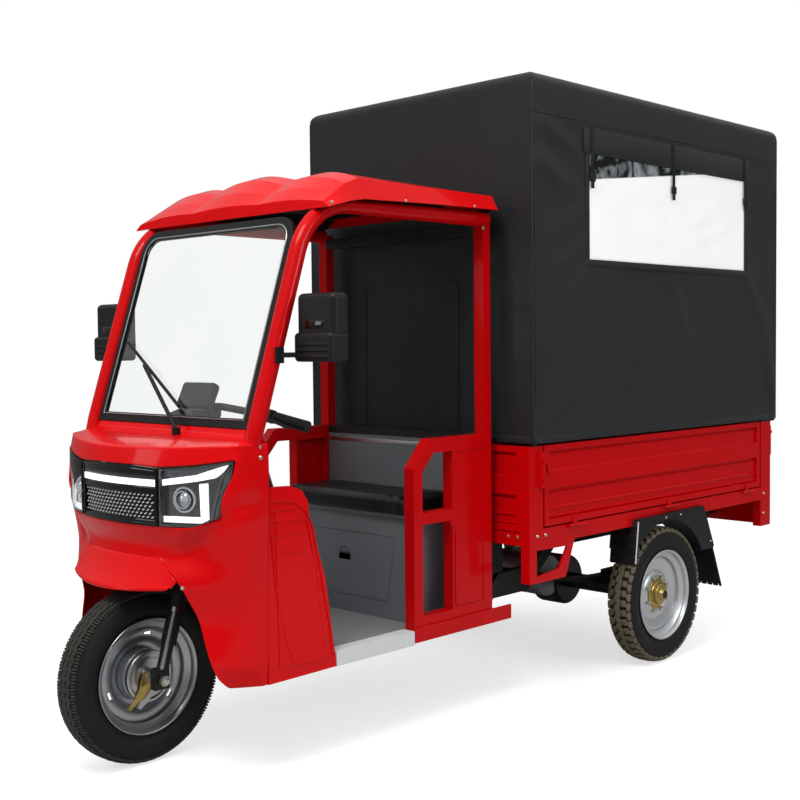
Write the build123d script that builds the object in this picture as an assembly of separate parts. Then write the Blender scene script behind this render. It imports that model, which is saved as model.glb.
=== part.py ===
from build123d import *
import math
import os

os.makedirs("parts", exist_ok=True)

# Axes: +X forward, +Y to the driver's left, +Z up, ground at Z = 0.
# All lengths are in millimetres. A pair is a low and a high value.

# Running gear
WHEEL_R = 250.0
TYRE_W = 98.0
RIM_R = 160.0
FRONT_AXLE_X = 1270.0
WHEELBASE = 1920.0
REAR_AXLE_X = FRONT_AXLE_X - WHEELBASE
AXLE_R = 10.0
REAR_STUB_R = 14.0
AXLE_TUBE_R = 30.0
RUNNING_GAP = 0.1
SEAT_GAP = 0.3

# Steering, a raked axis that passes through this X at axle height
RAKE_DEG = 17.0
STEER_X = 1245.0
FORK_LEG_Y = 95.0
FORK_LEG_R = 17.0
STEM_R = 17.0
HEAD_R = 28.0
HEAD_Z = (612.0, 705.0)
CROWN_Z = (560.0, 590.0)
BAR_Z = 985.0
BAR_R = 11.0
GRIP_R = 17.0

# Cab frame
FLOOR_Z = 302.0
FLOOR_T = 4.0
SIDE_Y = 392.0
TUBE = 40.0
PILLAR_R = 24.0
PILLAR_FOOT_Y = 385.0
PILLAR_Y = 393.0
ROOF_RAIL_Z = 1580.0
BACK_X = 173.0
BACK_TUBE = 35.0
SCREEN_TILT = 18.0
SCREEN_X = 1156.0
SCREEN_Z = 956.0
SCREEN_HEIGHT = 616.0
SCREEN_HALF = 366.0

# Moulded front body
SKIN = 4.0
COWL_BACK_X = 1128.0
HOOD_Z = 930.0
HOOD_X = 1190.0
BROW_Z = 906.0
LAMP_Z = (696.0, 860.0)
NOSE_FRONT_X = 1350.0
NOSE_R = 798.0
NOSE_CX = NOSE_FRONT_X - NOSE_R
HOOD_FALL = (HOOD_Z - BROW_Z) / (NOSE_FRONT_X - 8 - HOOD_X)

# Cargo bed
BED_X = (-1486.0, 140.0)
BED_HALF = 522.0
REAR_WHEEL_Y = BED_HALF - 32.0
RAIL_Z = (524.0, 577.0)
RAIL_W = 22.0
BOARD_Z = (582.5, 848.0)
BOARD_T = 22.0
SIDE_BOARD_X = (-1396.0, 60.0)
POST_FRONT_X = (68.0, 140.0)
POST_REAR_X = (-1486.0, -1404.0)
POST_W = 35.0
HINGE_OUT = 11.0
HINGE_R = 5.0
HINGE_DROP = 9.5
BED_FLOOR_Z = (560.0, 564.0)

# Canopy
TARP_X = (-1520.0, 123.0)
TARP_HALF = BED_HALF + 5.0
TARP_Z = (856.0, 2050.0)
TARP_T = 3.0
SEAM_Z = 1920.0
TARP_EDGE_R = 55.0
WINDOW_X = (-1252.0, -183.0)
WINDOW_Z = (1458.0, 1823.0)
BOW_TUBE = 20.0


def block(x, y, z):
    """Box between two X, two Y and two Z values."""
    centre = Pos((x[0] + x[1]) / 2, (y[0] + y[1]) / 2, (z[0] + z[1]) / 2)
    return centre * Box(x[1] - x[0], y[1] - y[0], z[1] - z[0])


def plate_xz(points, y):
    """Closed outline of (X, Z) points, thick from y[0] to y[1]."""
    face = Plane.XZ.offset(-y[1]) * make_face(Polyline(*points, close=True))
    return extrude(face, amount=y[1] - y[0], dir=(0, -1, 0))


def plate_yz(points, x):
    """Closed outline of (Y, Z) points, thick from x[0] to x[1]."""
    face = Plane.YZ.offset(x[0]) * make_face(Polyline(*points, close=True))
    return extrude(face, amount=x[1] - x[0], dir=(1, 0, 0))


def rod(start, end, radius):
    """Round bar between two points."""
    axis = Vector(*end) - Vector(*start)
    plane = Plane(origin=start, z_dir=axis)
    return extrude(plane * Circle(radius), amount=axis.length)


def pipe(points, radii, radius):
    """Round bar along straight runs joined by arcs."""
    path = FilletPolyline(*points, radius=radii)
    start = Plane(origin=path @ 0, z_dir=path % 0)
    return sweep(start * Circle(radius), path=path)


def wheel_turn(profile):
    """Turn a closed outline of (radius, width) points about the Y axis."""
    return revolve(make_face(Polyline(*profile, close=True)), Axis.Y, 360)


def both_sides(solid):
    """The solid and its mirror image on the other side."""
    return [solid, mirror(solid, Plane.XZ)]


def merged(solids):
    """All the solids fused to one shape."""
    total = solids[0]
    for solid in solids[1:]:
        total = total + solid
    return total


def save(name, shape):
    """Write one piece, or several that do not touch, to its own file."""
    if isinstance(shape, (list, tuple)):
        shape = Compound(children=[s for item in shape for s in item.solids()])
    export_step(shape, f"parts/{name}.step")


def steer_point(z):
    """Point of the steering axis at a height."""
    return (STEER_X - math.tan(math.radians(RAKE_DEG)) * (z - WHEEL_R), 0.0, z)


def steer_rod(z, radius):
    """Round bar along the steering axis between two heights."""
    return rod(steer_point(z[0]), steer_point(z[1]), radius)


def screen_point(up, out=0.0):
    """X and Z of a point up the windscreen plane and out from it."""
    tilt = math.radians(SCREEN_TILT)
    x = SCREEN_X - up * math.sin(tilt) + out * math.cos(tilt)
    z = SCREEN_Z + up * math.cos(tilt) + out * math.sin(tilt)
    return (x, z)


# Wheels
def tyre():
    half = TYRE_W / 2
    crown = [(WHEEL_R, 0.0), (WHEEL_R - 1.5, 26.0), (WHEEL_R - 6, 40.0),
             (WHEEL_R - 15, half - 1), (WHEEL_R - 34, half), (WHEEL_R - 62, half - 3),
             (RIM_R + 14, half - 9), (RIM_R + SEAT_GAP, half - 12)]
    mirrored = [(r, -w) for r, w in reversed(crown[1:])]
    return wheel_turn(crown + mirrored)


def rim(dish, nave_r, face):
    """Steel rim with a drop centre, a dished disc and a nave."""
    lip = TYRE_W / 2 - 4
    seat = TYRE_W / 2 - 11
    well = 20.0
    outer = [(RIM_R + 11, lip), (RIM_R + 11, lip - 3), (RIM_R, seat), (RIM_R, well + 6),
             (RIM_R - 18, well - 4), (RIM_R - 18, -well + 4), (RIM_R, -well - 6),
             (RIM_R, -seat), (RIM_R + 11, -lip + 3), (RIM_R + 11, -lip)]
    inner = [(RIM_R + 7, -lip), (RIM_R - 4, -seat), (RIM_R - 4, -well - 8),
             (RIM_R - 22, -well + 2), (RIM_R - 22, well - 2), (RIM_R - 4, well + 8),
             (RIM_R - 4, seat), (RIM_R + 7, lip)]
    barrel = wheel_turn(outer + inner)
    disc = wheel_turn([(RIM_R - 20, face - 2), (RIM_R - 20, face + 3),
                       (RIM_R - 45, face + dish + 3), (nave_r + 14, dish + 1),
                       (nave_r - 1, 4.0), (nave_r - 1, -1.0),
                       (nave_r + 14, dish - 4), (RIM_R - 45, face + dish - 2)])
    return barrel + disc


def vented(solid, count, radius, hole_r):
    """Round holes through the disc on one circle."""
    cutter = Rot(90, 0, 0) * Cylinder(hole_r, TYRE_W)
    for index in range(count):
        turn = 360.0 * index / count
        solid = solid - Rot(0, turn, 0) * Pos(radius, 0, 0) * cutter
    return solid


FRONT_NAVE_R = 74.0
REAR_NAVE_R = 56.0
DRUM_W = 34.0
front_wheel_at = Pos(FRONT_AXLE_X, 0, WHEEL_R)
save("front_tyre", front_wheel_at * tyre())
front_drum = wheel_turn([(AXLE_R + RUNNING_GAP, -DRUM_W), (FRONT_NAVE_R - 20, -DRUM_W),
                         (FRONT_NAVE_R, -DRUM_W + 14), (FRONT_NAVE_R, DRUM_W - 8),
                         (FRONT_NAVE_R - 6, DRUM_W - 8), (FRONT_NAVE_R - 6, 12.0),
                         (AXLE_R + RUNNING_GAP, 12.0)])
front_rim = vented(rim(9.0, FRONT_NAVE_R, 0.0) + front_drum, 6, 116.0, 11.0)
save("front_rim", front_wheel_at * front_rim)

REAR_DRUM_R = 92.0
rear_drum = wheel_turn([(REAR_STUB_R + RUNNING_GAP, -44.0), (REAR_DRUM_R - 6, -44.0),
                        (REAR_DRUM_R - 6, -88.0), (REAR_DRUM_R, -88.0),
                        (REAR_DRUM_R, -36.0), (REAR_NAVE_R, -20.0), (REAR_NAVE_R, 6.0),
                        (34.0, 8.0), (34.0, 34.0), (REAR_STUB_R + RUNNING_GAP, 34.0)])
rear_wheel = vented(rim(-6.0, REAR_NAVE_R, 6.0) + rear_drum, 8, 108.0, 9.0)
for side, sign in (("left", 1), ("right", -1)):
    place = Pos(REAR_AXLE_X, sign * REAR_WHEEL_Y, WHEEL_R)
    turned = Rot(0, 0, 0) if sign > 0 else Rot(0, 0, 180)
    save(f"rear_tyre_{side}", place * turned * tyre())
    save(f"rear_rim_{side}", place * turned * rear_wheel)

# Fork, handlebar and what they carry
LEG_AHEAD = FRONT_AXLE_X - STEER_X
CROWN_HALF = FORK_LEG_Y + 26.0


def leg_point(z, y):
    x, _, _ = steer_point(z)
    return (x + LEG_AHEAD, y, z)


legs = []
for y in (FORK_LEG_Y, -FORK_LEG_Y):
    legs.append(rod(leg_point(WHEEL_R - 22, y), leg_point(CROWN_Z[1], y), FORK_LEG_R))
    legs.append(rod(leg_point(WHEEL_R + 95, y), leg_point(CROWN_Z[0] + 4, y), FORK_LEG_R + 5))
    legs.append(block((FRONT_AXLE_X - 24, FRONT_AXLE_X + 24), (y - 12, y + 12),
                      (WHEEL_R - 26, WHEEL_R + 34)))
crown_x = steer_point(sum(CROWN_Z) / 2)[0]
crown = block((crown_x - 30, crown_x + LEG_AHEAD + 32), (-CROWN_HALF, CROWN_HALF), CROWN_Z)
crown = fillet(crown.edges().filter_by(Axis.Z), 16)
stem = steer_rod((CROWN_Z[0] + 4, BAR_Z + 6), STEM_R)
fork_solid = merged(legs + [crown, stem])
bar_x = steer_point(BAR_Z)[0]
clamp_solid = block((bar_x - 24, bar_x + 24), (-46, 46), (BAR_Z - 16, BAR_Z + 16))
clamp_solid = fillet(clamp_solid.edges(), 8)
axle_hole = rod((FRONT_AXLE_X, -160, WHEEL_R), (FRONT_AXLE_X, 160, WHEEL_R), AXLE_R)
fork_solid = fork_solid - axle_hole
save("fork", fork_solid)

bar_half = [(bar_x, 0, BAR_Z), (bar_x - 6, 70, BAR_Z + 18), (bar_x - 70, 196, BAR_Z - 6),
            (bar_x - 102, 330, BAR_Z - 35)]
bar_path = [(x, -y, z) for x, y, z in reversed(bar_half[1:])] + bar_half[1:]
bar = pipe(bar_path, [30, 30, 30, 30], BAR_R)
lever_from = Vector(*bar_half[2])
grip_to = Vector(*bar_half[3])
grip_dir = (grip_to - lever_from).normalized()
housing = rod(lever_from - grip_dir * 12, lever_from + grip_dir * 22, 20.0)
lever = rod(lever_from + grip_dir * 8 + Vector(20, 0, -3),
            lever_from + grip_dir * 118 + Vector(44, 0, -6), 5.0)
controls = merged([housing, lever])
handlebar = merged([bar, clamp_solid] + both_sides(controls)) - steer_rod((500, BAR_Z + 6), STEM_R)
save("handlebar", handlebar)

grip = rod(lever_from + grip_dir * 26, grip_to, GRIP_R) - rod(
    lever_from, lever_from + grip_dir * 300, BAR_R + SEAT_GAP)
grip = grip + rod(grip_to, grip_to + grip_dir * 5, GRIP_R)
save("grips", both_sides(grip))

pod = Pos(bar_x + 30, 0, BAR_Z + 48) * Rot(0, -24, 0) * Box(34, 150, 84)
pod = fillet(pod.edges(), 12)
pod = pod + rod((bar_x + 14, 0, BAR_Z + 16 + SEAT_GAP), (bar_x + 14, 0, BAR_Z + 48), 6)
save("instrument_pod", pod)

axle = rod((FRONT_AXLE_X, -128, WHEEL_R), (FRONT_AXLE_X, 128, WHEEL_R), AXLE_R)
nut_y = FORK_LEG_Y + FORK_LEG_R + SEAT_GAP
nuts = [rod((FRONT_AXLE_X, y, WHEEL_R), (FRONT_AXLE_X, y + 10, WHEEL_R), 15)
        for y in (nut_y, -nut_y - 10)]
brake_plate = rod((FRONT_AXLE_X, DRUM_W - 12, WHEEL_R), (FRONT_AXLE_X, 40, WHEEL_R),
                  FRONT_NAVE_R - 7)
boss = rod((FRONT_AXLE_X, 40, WHEEL_R), (FRONT_AXLE_X, FORK_LEG_Y - FORK_LEG_R - SEAT_GAP, WHEEL_R), 20)
arm = plate_xz([(FRONT_AXLE_X + 6, 212), (FRONT_AXLE_X + 30, 196), (FRONT_AXLE_X + 44, 168),
                (FRONT_AXLE_X + 34, 162), (FRONT_AXLE_X + 8, 180), (FRONT_AXLE_X - 8, 200)],
               (40, 48))
save("front_axle", merged([axle, brake_plate, boss, arm] + nuts))

# Ladder chassis with the neck and the head tube
CH_Y = (232.0, 270.0)
CH_OUT = [(960, 222), (120, 222), (20, 305), (-170, 305), (-330, 440), (BED_X[0] + 10, 440),
          (BED_X[0] + 10, 520), (-360, 520), (-200, 387), (-10, 387), (90, FLOOR_Z - FLOOR_T),
          (960, FLOOR_Z - FLOOR_T)]
ladder = both_sides(plate_xz(CH_OUT, CH_Y))
cross_table = [  # X low, X high, Z low, Z high
    (920, 960, 222, 298), (500, 540, 232, 292), (120, 160, 232, 292),
    (-160, -120, 315, 377), (-420, -380, 450, 510), (-960, -920, 450, 510),
    (BED_X[0] + 10, BED_X[0] + 50, 450, 510)]
crosses = [block((x0, x1), (-CH_Y[0] - 4, CH_Y[0] + 4), (z0, z1)) for x0, x1, z0, z1 in cross_table]
neck = plate_xz([(935, 232), (985, 232), (1008, 300), (1070, 556), (1076, 596), (1096, 614),
                 (1126, 614), (1108, 690), (1072, 690), (1046, 640), (950, 298)], (-28, 28))
head = steer_rod(HEAD_Z, HEAD_R)
outrigger_table = [(880, 920), (560, 600), (210, 250)]  # X low, X high
outriggers = [block((x0, x1), (-SIDE_Y + TUBE + 1, SIDE_Y - TUBE - 1), (262, 298))
              for x0, x1 in outrigger_table]
chassis = merged(ladder + crosses + outriggers + [neck, head])
chassis = chassis - steer_rod((400, 900), STEM_R + RUNNING_GAP)
save("chassis_frame", chassis)

# Cab floor, door sills and the closed bulkhead behind the front wheel
save("floor_pan", block((BACK_X, 905), (-SIDE_Y + TUBE, SIDE_Y - TUBE),
                        (FLOOR_Z - FLOOR_T, FLOOR_Z)))
save("door_sills", both_sides(block((552, 877), (SIDE_Y - TUBE, 400), (263, 306))))
BULKHEAD_TOP = (1136.0, HOOD_Z - 13)
BULKHEAD = [(905, FLOOR_Z - FLOOR_T), (909, FLOOR_Z - FLOOR_T), (1034, 640), BULKHEAD_TOP,
            (BULKHEAD_TOP[0] - 4, BULKHEAD_TOP[1]), (1030, 640), (905, 306)]
bulkhead = plate_xz(BULKHEAD, (-384, 384)) - steer_rod((700, 860), 34)
save("front_bulkhead", bulkhead)

# Cab side frames, each with its rocker, two windows and a pressed panel
FRAME = [(208, 300), (543, 300), (543, 802), (465, 889), (208, 889)]
LOWER_WINDOW = [(365, 342), (503, 342), (503, 626), (378, 626), (365, 600)]
UPPER_WINDOW = [(365, 662), (503, 662), (503, 788), (452, 845), (365, 845)]
PANEL_POCKET = [(216, 348), (357, 348), (357, 843), (216, 843)]
PRESSING = [(222, 352), (352, 352), (352, 590), (330, 548), (290, 520), (222, 514)]
side_frame = plate_xz(FRAME, (SIDE_Y - TUBE, SIDE_Y))
for window in (LOWER_WINDOW, UPPER_WINDOW):
    side_frame = side_frame - plate_xz(window, (SIDE_Y - TUBE - 5, SIDE_Y + 5))
side_frame = side_frame - plate_xz(PANEL_POCKET, (SIDE_Y - TUBE - 5, SIDE_Y - 5))
side_frame = side_frame - plate_xz(PANEL_POCKET, (SIDE_Y - 2, SIDE_Y + 5))
side_frame = side_frame + plate_xz(PRESSING, (SIDE_Y - 4, SIDE_Y + 1))
rocker = block((84, 548), (SIDE_Y - TUBE, 400), (268, 300))
rocker = rocker + block((84, 548), (SIDE_Y + SEAT_GAP, 400), (290, 314))
side_frame = side_frame + rocker + block((208, 543), (SIDE_Y - 6, SIDE_Y + 4), (300, 310))
save("cab_sides", both_sides(side_frame))

# Windscreen pillars that bend back into the roof rails, and the rear pillars
foot = (1183, PILLAR_FOOT_Y, 862)
knee_x, knee_z = screen_point(8)
bend_x, _ = screen_point((ROOF_RAIL_Z - SCREEN_Z) / math.cos(math.radians(SCREEN_TILT)))
rail_path = [foot, (knee_x, PILLAR_Y, knee_z), (bend_x, PILLAR_Y, ROOF_RAIL_Z),
             (BACK_X + 20, PILLAR_Y - 6, ROOF_RAIL_Z)]
pillar = pipe(rail_path, [200, 200], PILLAR_R)
rear_pillar = block((BACK_X, BACK_X + BACK_TUBE), (SIDE_Y - TUBE, SIDE_Y), (300, ROOF_RAIL_Z))
leg_post = block((1132, 1160), (360, 384), (266, 880))
lower_tube = block((877, 1160), (360, 384), (266, 296))
pillar_solid = merged([pillar, rear_pillar, leg_post, lower_tube])
pillar_solid = pillar_solid + block((1134, 1192), (362, 392), (852, 884))
save("cab_pillars", both_sides(pillar_solid))

# Cab roof, a moulded shell with three lobes and a visor
# X, half width, edge Z, shoulder Z, side lobe Z, valley Z, centre lobe Z
ROOF_SECTIONS = [
    (176, 430, 1608, 1656, 1670, 1662, 1674),
    (480, 436, 1604, 1656, 1678, 1666, 1686),
    (790, 446, 1594, 1656, 1686, 1670, 1702),
    (850, 454, 1584, 1636, 1668, 1656, 1684),
    (905, 462, 1570, 1602, 1630, 1622, 1642),
    (945, 466, 1560, 1578, 1592, 1591, 1598),
]
VALLEY_Y = 160.0


def roof_face(x, half, edge, shoulder, side, valley, centre, inset):
    bottom = edge - (2 * inset if inset else 0)
    wide = half - inset
    shoulder_y = half - 26 - inset
    lines = [
        Line((-wide, bottom), (-shoulder_y, shoulder - inset)),
        ThreePointArc((-shoulder_y, shoulder - inset), (-(shoulder_y + VALLEY_Y) / 2, side - inset),
                      (-VALLEY_Y, valley - inset)),
        ThreePointArc((-VALLEY_Y, valley - inset), (0, centre - inset), (VALLEY_Y, valley - inset)),
        ThreePointArc((VALLEY_Y, valley - inset), ((shoulder_y + VALLEY_Y) / 2, side - inset),
                      (shoulder_y, shoulder - inset)),
        Line((shoulder_y, shoulder - inset), (wide, bottom)),
        Line((wide, bottom), (-wide, bottom)),
    ]
    return Plane.YZ.offset(x) * make_face(lines)


roof_outer = loft([roof_face(*row, inset=0) for row in ROOF_SECTIONS], ruled=True)
inner_rows = [list(row) for row in ROOF_SECTIONS]
inner_rows[0][0] += SKIN
inner_rows[-1][0] -= SKIN
roof_inner = loft([roof_face(*row, inset=SKIN) for row in inner_rows], ruled=True)
save("cab_roof", roof_outer - roof_inner)


def valley_z(x):
    """Height of the roof's valleys at one X, between two sections."""
    for low, high in zip(ROOF_SECTIONS, ROOF_SECTIONS[1:]):
        if low[0] <= x <= high[0]:
            share = (x - low[0]) / (high[0] - low[0])
            return low[5] + share * (high[5] - low[5])
    return ROOF_SECTIONS[0][5]


# Bows that carry the roof on its valleys, and the bars behind the seat
def roof_bow(x):
    top = min(valley_z(x), valley_z(x + 20)) - SKIN - SEAT_GAP
    foot_z = ROOF_RAIL_Z + PILLAR_R + SEAT_GAP
    return plate_yz([(-402, foot_z), (-340, top), (340, top), (402, foot_z), (376, foot_z),
                     (328, top - 20), (-328, top - 20), (-376, foot_z)], (x, x + 20))


back_bars = [block((BACK_X, BACK_X + BACK_TUBE), (-SIDE_Y + TUBE, SIDE_Y - TUBE), z)
             for z in ((1530, 1565), (864, 889))]
save("cab_cross_tubes", [roof_bow(x) for x in (BACK_X + 10, 520, 790)] + back_bars)

# Windscreen glass in a rubber gasket
screen_plane = Plane(origin=(SCREEN_X, 0, SCREEN_Z), x_dir=(0, 1, 0),
                     z_dir=(math.cos(math.radians(SCREEN_TILT)), 0,
                            math.sin(math.radians(SCREEN_TILT))))
GLASS_MARGIN = 28.0
GLASS_T = 5.0
GASKET_T = 14.0


def screen_slab(inset, top_r, thick):
    """Round-cornered slab centred on the windscreen plane."""
    width = 2 * (SCREEN_HALF - inset)
    height = SCREEN_HEIGHT - 2 * inset
    outline = Pos(0, SCREEN_HEIGHT / 2) * Rectangle(width, height)
    top = outline.vertices().sort_by(Axis.Y)[2:]
    outline = fillet(top, top_r)
    return extrude(screen_plane.offset(-thick / 2) * outline, amount=thick)


gasket = screen_slab(0, 70, GASKET_T) - screen_slab(GLASS_MARGIN, 50, GASKET_T + 4)
save("windshield_glass", screen_slab(GLASS_MARGIN, 50, GLASS_T))
save("windshield_gasket", gasket)

# Nose cowl, lofted through level sections of two sides and one front arc
# Z, X where the side ends, half width there, X of the nose centre
COWL_SECTIONS = [
    (262, 1150, 394, 1380),
    (317, 1180, 400, 1390),
    (443, 1192, 400, 1345),
    (555, 1205, 402, 1374),
    (606, 1208, 404, 1332),
    (645, 1214, 406, 1330),
    (690, 1232, 410, 1351),
    (720, 1240, 413, 1352),
    (865, 1236, 414, 1350),
    (960, 1222, 410, 1338),
]


def cowl_face(z, x_side, half, nose, inset, back):
    xs, ys, xn = x_side - inset, half - inset, nose - inset
    lines = [Line((back, -ys), (xs, -ys)), ThreePointArc((xs, -ys), (xn, 0), (xs, ys)),
             Line((xs, ys), (back, ys)), Line((back, ys), (back, -ys))]
    return Plane.XY.offset(z) * make_face(lines)


def cowl_loft(inset, back, drop):
    rows = [list(row) for row in COWL_SECTIONS]
    rows[0][0] -= drop
    return loft([cowl_face(*row, inset=inset, back=back) for row in rows], ruled=True)


def hood_cut(lower):
    """Everything above the sloping hood, lowered for the inner skin."""
    top = HOOD_Z - lower
    far = 300.0
    return plate_xz([(HOOD_X, top), (HOOD_X + far, top - HOOD_FALL * far), (HOOD_X + far, 1400),
                     (1000, 1400), (1000, top)], (-600, 600))


cowl = cowl_loft(0, COWL_BACK_X, 0) - hood_cut(0)
hollow = cowl_loft(SKIN, COWL_BACK_X - 10, 6) - hood_cut(SKIN)
arch = plate_yz([(-338, 240), (338, 240), (330, 317), (252, 552), (160, 606), (-160, 606),
                 (-252, 552), (-330, 317)], (1000, 1500))
lamp_outline = [(187, LAMP_Z[0]), (300, LAMP_Z[0] + 2), (371, 727), (381, 793), (400, 830),
                (402, 880), (300, 866), (187, 856)]
grille_outline = [(-183, LAMP_Z[0]), (183, LAMP_Z[0]), (183, 856), (90, LAMP_Z[1]),
                  (-90, LAMP_Z[1]), (-183, 856)]
nose_window = merged([plate_yz(lamp_outline, (1180, 1400)),
                      plate_yz([(-y, z) for y, z in lamp_outline], (1180, 1400)),
                      plate_yz(grille_outline, (1180, 1400)),
                      block((1180, 1400), (-190, 190), (LAMP_Z[0], 856))])
cowl = cowl - hollow - arch - nose_window
cowl = cowl - merged(both_sides(rod((1199, PILLAR_FOOT_Y - 4, 810),
                                    (1139, PILLAR_FOOT_Y + 11, 996), PILLAR_R + 3)))
scuttle_low = screen_point((HOOD_Z - SCREEN_Z) / math.cos(math.radians(SCREEN_TILT)))
scuttle = plate_xz([(scuttle_low[0] - 8, HOOD_Z - 2), (scuttle_low[0] + 8, HOOD_Z - 2),
                    (screen_point(-1, 8)), (screen_point(-1, -8))], (-352, 352))
save("front_cowl", cowl + scuttle)


def nose_band(outline, depth, proud):
    """Outline cut from a ring about the nose's centre of curvature."""
    low, high = LAMP_Z[0] - 20, 900.0
    ring = Pos(NOSE_CX, 0, (low + high) / 2) * (
        Cylinder(NOSE_R + proud, high - low) - Cylinder(NOSE_R - depth, high - low + 2))
    return ring & plate_yz(outline, (1100, 1420))


GAP = SEAT_GAP
lamp_inset = [(y + (GAP if y < 200 else -GAP), z + (GAP if z < 740 else -GAP))
              for y, z in lamp_outline]
save("headlamps", both_sides(nose_band(lamp_inset, 34, 3)))
grille = nose_band(grille_outline, 22, 0)
for row in range(5):
    for column in range(14):
        shift = 0.5 if row % 2 else 0.0
        y = (column - 6.75 + shift) * 22.0
        z = 726 + row * 12.0
        grille = grille - block((1200, 1400), (y - 6, y + 6), (z - 3.2, z + 3.2))
save("grille_panel", grille)

# Beak over the front wheel
# Z, half width, X of the back, X of the front
BEAK_SECTIONS = [(606 - SEAT_GAP, 158, 1286, 1331), (552, 236, 1262, 1372), (520, 232, 1262, 1412)]


def beak_face(z, half, back, front, inset):
    side_x = back + 18
    ys = half - inset
    lines = [Line((back, -ys), (side_x, -ys)),
             ThreePointArc((side_x, -ys), (front - inset, 0), (side_x, ys)),
             Line((side_x, ys), (back, ys)), Line((back, ys), (back, -ys))]
    return Plane.XY.offset(z) * make_face(lines)


beak_in = [list(row) for row in BEAK_SECTIONS]
beak_in[0][0] -= SKIN
beak_in[-1][0] -= SKIN
for row in beak_in:
    row[2] -= 6
beak = loft([beak_face(*row, inset=0) for row in BEAK_SECTIONS], ruled=True)
beak = beak - loft([beak_face(*row, inset=SKIN) for row in beak_in], ruled=True)
save("front_mudguard", beak)

# Leg panels beside the footwell
LEG_PANEL = [(877, 264), (1128 - SEAT_GAP, 262), (1128 - SEAT_GAP, 800), (1040, 796),
             (1002, 782), (980, 752), (972, 700), (915, 518)]
LEG_FIELD = [(905, 300), (1090, 300), (1100, 740), (1022, 744), (996, 716), (940, 500)]
leg_panel = plate_xz(LEG_PANEL, (386, 400)) - plate_xz(LEG_FIELD, (384, 394))
leg_panel = leg_panel + plate_xz(LEG_FIELD, (396, 402))
for z in (612, 664, 700):
    leg_panel = leg_panel + block((1000, 1095), (400, 404), (z, z + 10))
save("leg_panels", both_sides(leg_panel))

# Wiper and mirrors
def on_screen(y, up, out):
    x, z = screen_point(up, out)
    return (x, y, z)


WIPER_PIVOT = (1196.0, 90.0)
WIPER_HEAD = (-165.0, 172.0)
WIPER_BLADE = ((-300.0, 249.0), (44.0, 53.0))
pivot_z = HOOD_Z + SEAT_GAP
wiper = [rod((*WIPER_PIVOT, pivot_z), (*WIPER_PIVOT, pivot_z + 24), 12),
         rod((*WIPER_PIVOT, pivot_z + 18), on_screen(*WIPER_HEAD, 24), 6),
         rod(on_screen(*WIPER_BLADE[0], 14), on_screen(*WIPER_BLADE[1], 14), 5),
         rod(on_screen(*WIPER_HEAD, 26), on_screen(*WIPER_HEAD, 13), 6)]
save("wiper", merged(wiper))

MIRROR_Y = (425.0, 575.0)
MIRROR_X = (975.0, 1035.0)
MIRROR_Z = (1137.0, 1322.0)
shell_top = fillet(block(MIRROR_X, MIRROR_Y, (1200, MIRROR_Z[1])).edges(), 16)
shell_low = fillet(block((MIRROR_X[0], MIRROR_X[1] + 12), MIRROR_Y, (MIRROR_Z[0], 1216)).edges(), 12)
mirror_face = block((MIRROR_X[0] - 2, MIRROR_X[0] + 10), (MIRROR_Y[0] + 10, MIRROR_Y[1] - 10),
                    (MIRROR_Z[0] + 10, MIRROR_Z[1] - 12))
arm_z = 1156.0
arm_foot_x = screen_point((arm_z - SCREEN_Z) / math.cos(math.radians(SCREEN_TILT)))[0]
mirror_arm = rod((arm_foot_x, PILLAR_Y + PILLAR_R - 3, arm_z), (1008, 440, arm_z), 7)
mirror_arm = mirror_arm + block((arm_foot_x - 14, arm_foot_x + 14),
                                (PILLAR_Y + PILLAR_R + SEAT_GAP, PILLAR_Y + PILLAR_R + 6),
                                (arm_z - 22, arm_z + 22))
mirror_arm = mirror_arm - rod((arm_foot_x - 100, PILLAR_Y, arm_z + 310),
                              (arm_foot_x + 100, PILLAR_Y, arm_z - 310), PILLAR_R + SEAT_GAP)
save("mirrors", both_sides(merged([shell_top, shell_low, mirror_face, mirror_arm])))

# Seat
SEAT_X = (222.0, 476.0)
SEAT_HALF = 290.0
SEAT_TOP = 642.0
SEAT_WALL = 4.0
seat_box = plate_xz([(SEAT_X[0], FLOOR_Z), (SEAT_X[1], FLOOR_Z), (SEAT_X[1] - 18, SEAT_TOP - 30),
                     (SEAT_X[1] - 18, SEAT_TOP), (SEAT_X[0], SEAT_TOP)], (-SEAT_HALF, SEAT_HALF))
seat_inside = plate_xz([(SEAT_X[0] + SEAT_WALL, FLOOR_Z - 1), (SEAT_X[1] - SEAT_WALL, FLOOR_Z - 1),
                        (SEAT_X[1] - 18 - SEAT_WALL, SEAT_TOP - SEAT_WALL),
                        (SEAT_X[0] + SEAT_WALL, SEAT_TOP - SEAT_WALL)],
                       (-SEAT_HALF + SEAT_WALL, SEAT_HALF - SEAT_WALL))
seat_rim = block((SEAT_X[0], SEAT_X[1] - 6), (-SEAT_HALF - 8, SEAT_HALF + 8), (SEAT_TOP - 12, SEAT_TOP))
HATCH = [(-212, 352), (212, 352), (236, 566), (-236, 566)]
HATCH_PULL = [(-28, 470), (28, 470), (28, 496), (12, 512), (-12, 512), (-28, 496)]
lid_cut = plate_yz(HATCH, (SEAT_X[1] - 40, SEAT_X[1] + 5)) & plate_xz(
    [(SEAT_X[1] - 2, FLOOR_Z), (SEAT_X[1] + 6, FLOOR_Z), (SEAT_X[1] - 12, SEAT_TOP - 30),
     (SEAT_X[1] - 20, SEAT_TOP - 30)], (-SEAT_HALF, SEAT_HALF))
lid = plate_yz([(y * 0.96, z + (6 if z < 450 else -6)) for y, z in HATCH],
               (SEAT_X[1] - 40, SEAT_X[1] + 5)) & seat_box
seat = merged([seat_box, seat_rim]) - lid_cut + lid
seat = seat - plate_yz(HATCH_PULL, (SEAT_X[1] - 14, SEAT_X[1] + 5))
save("seat_base", seat - seat_inside)
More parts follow.
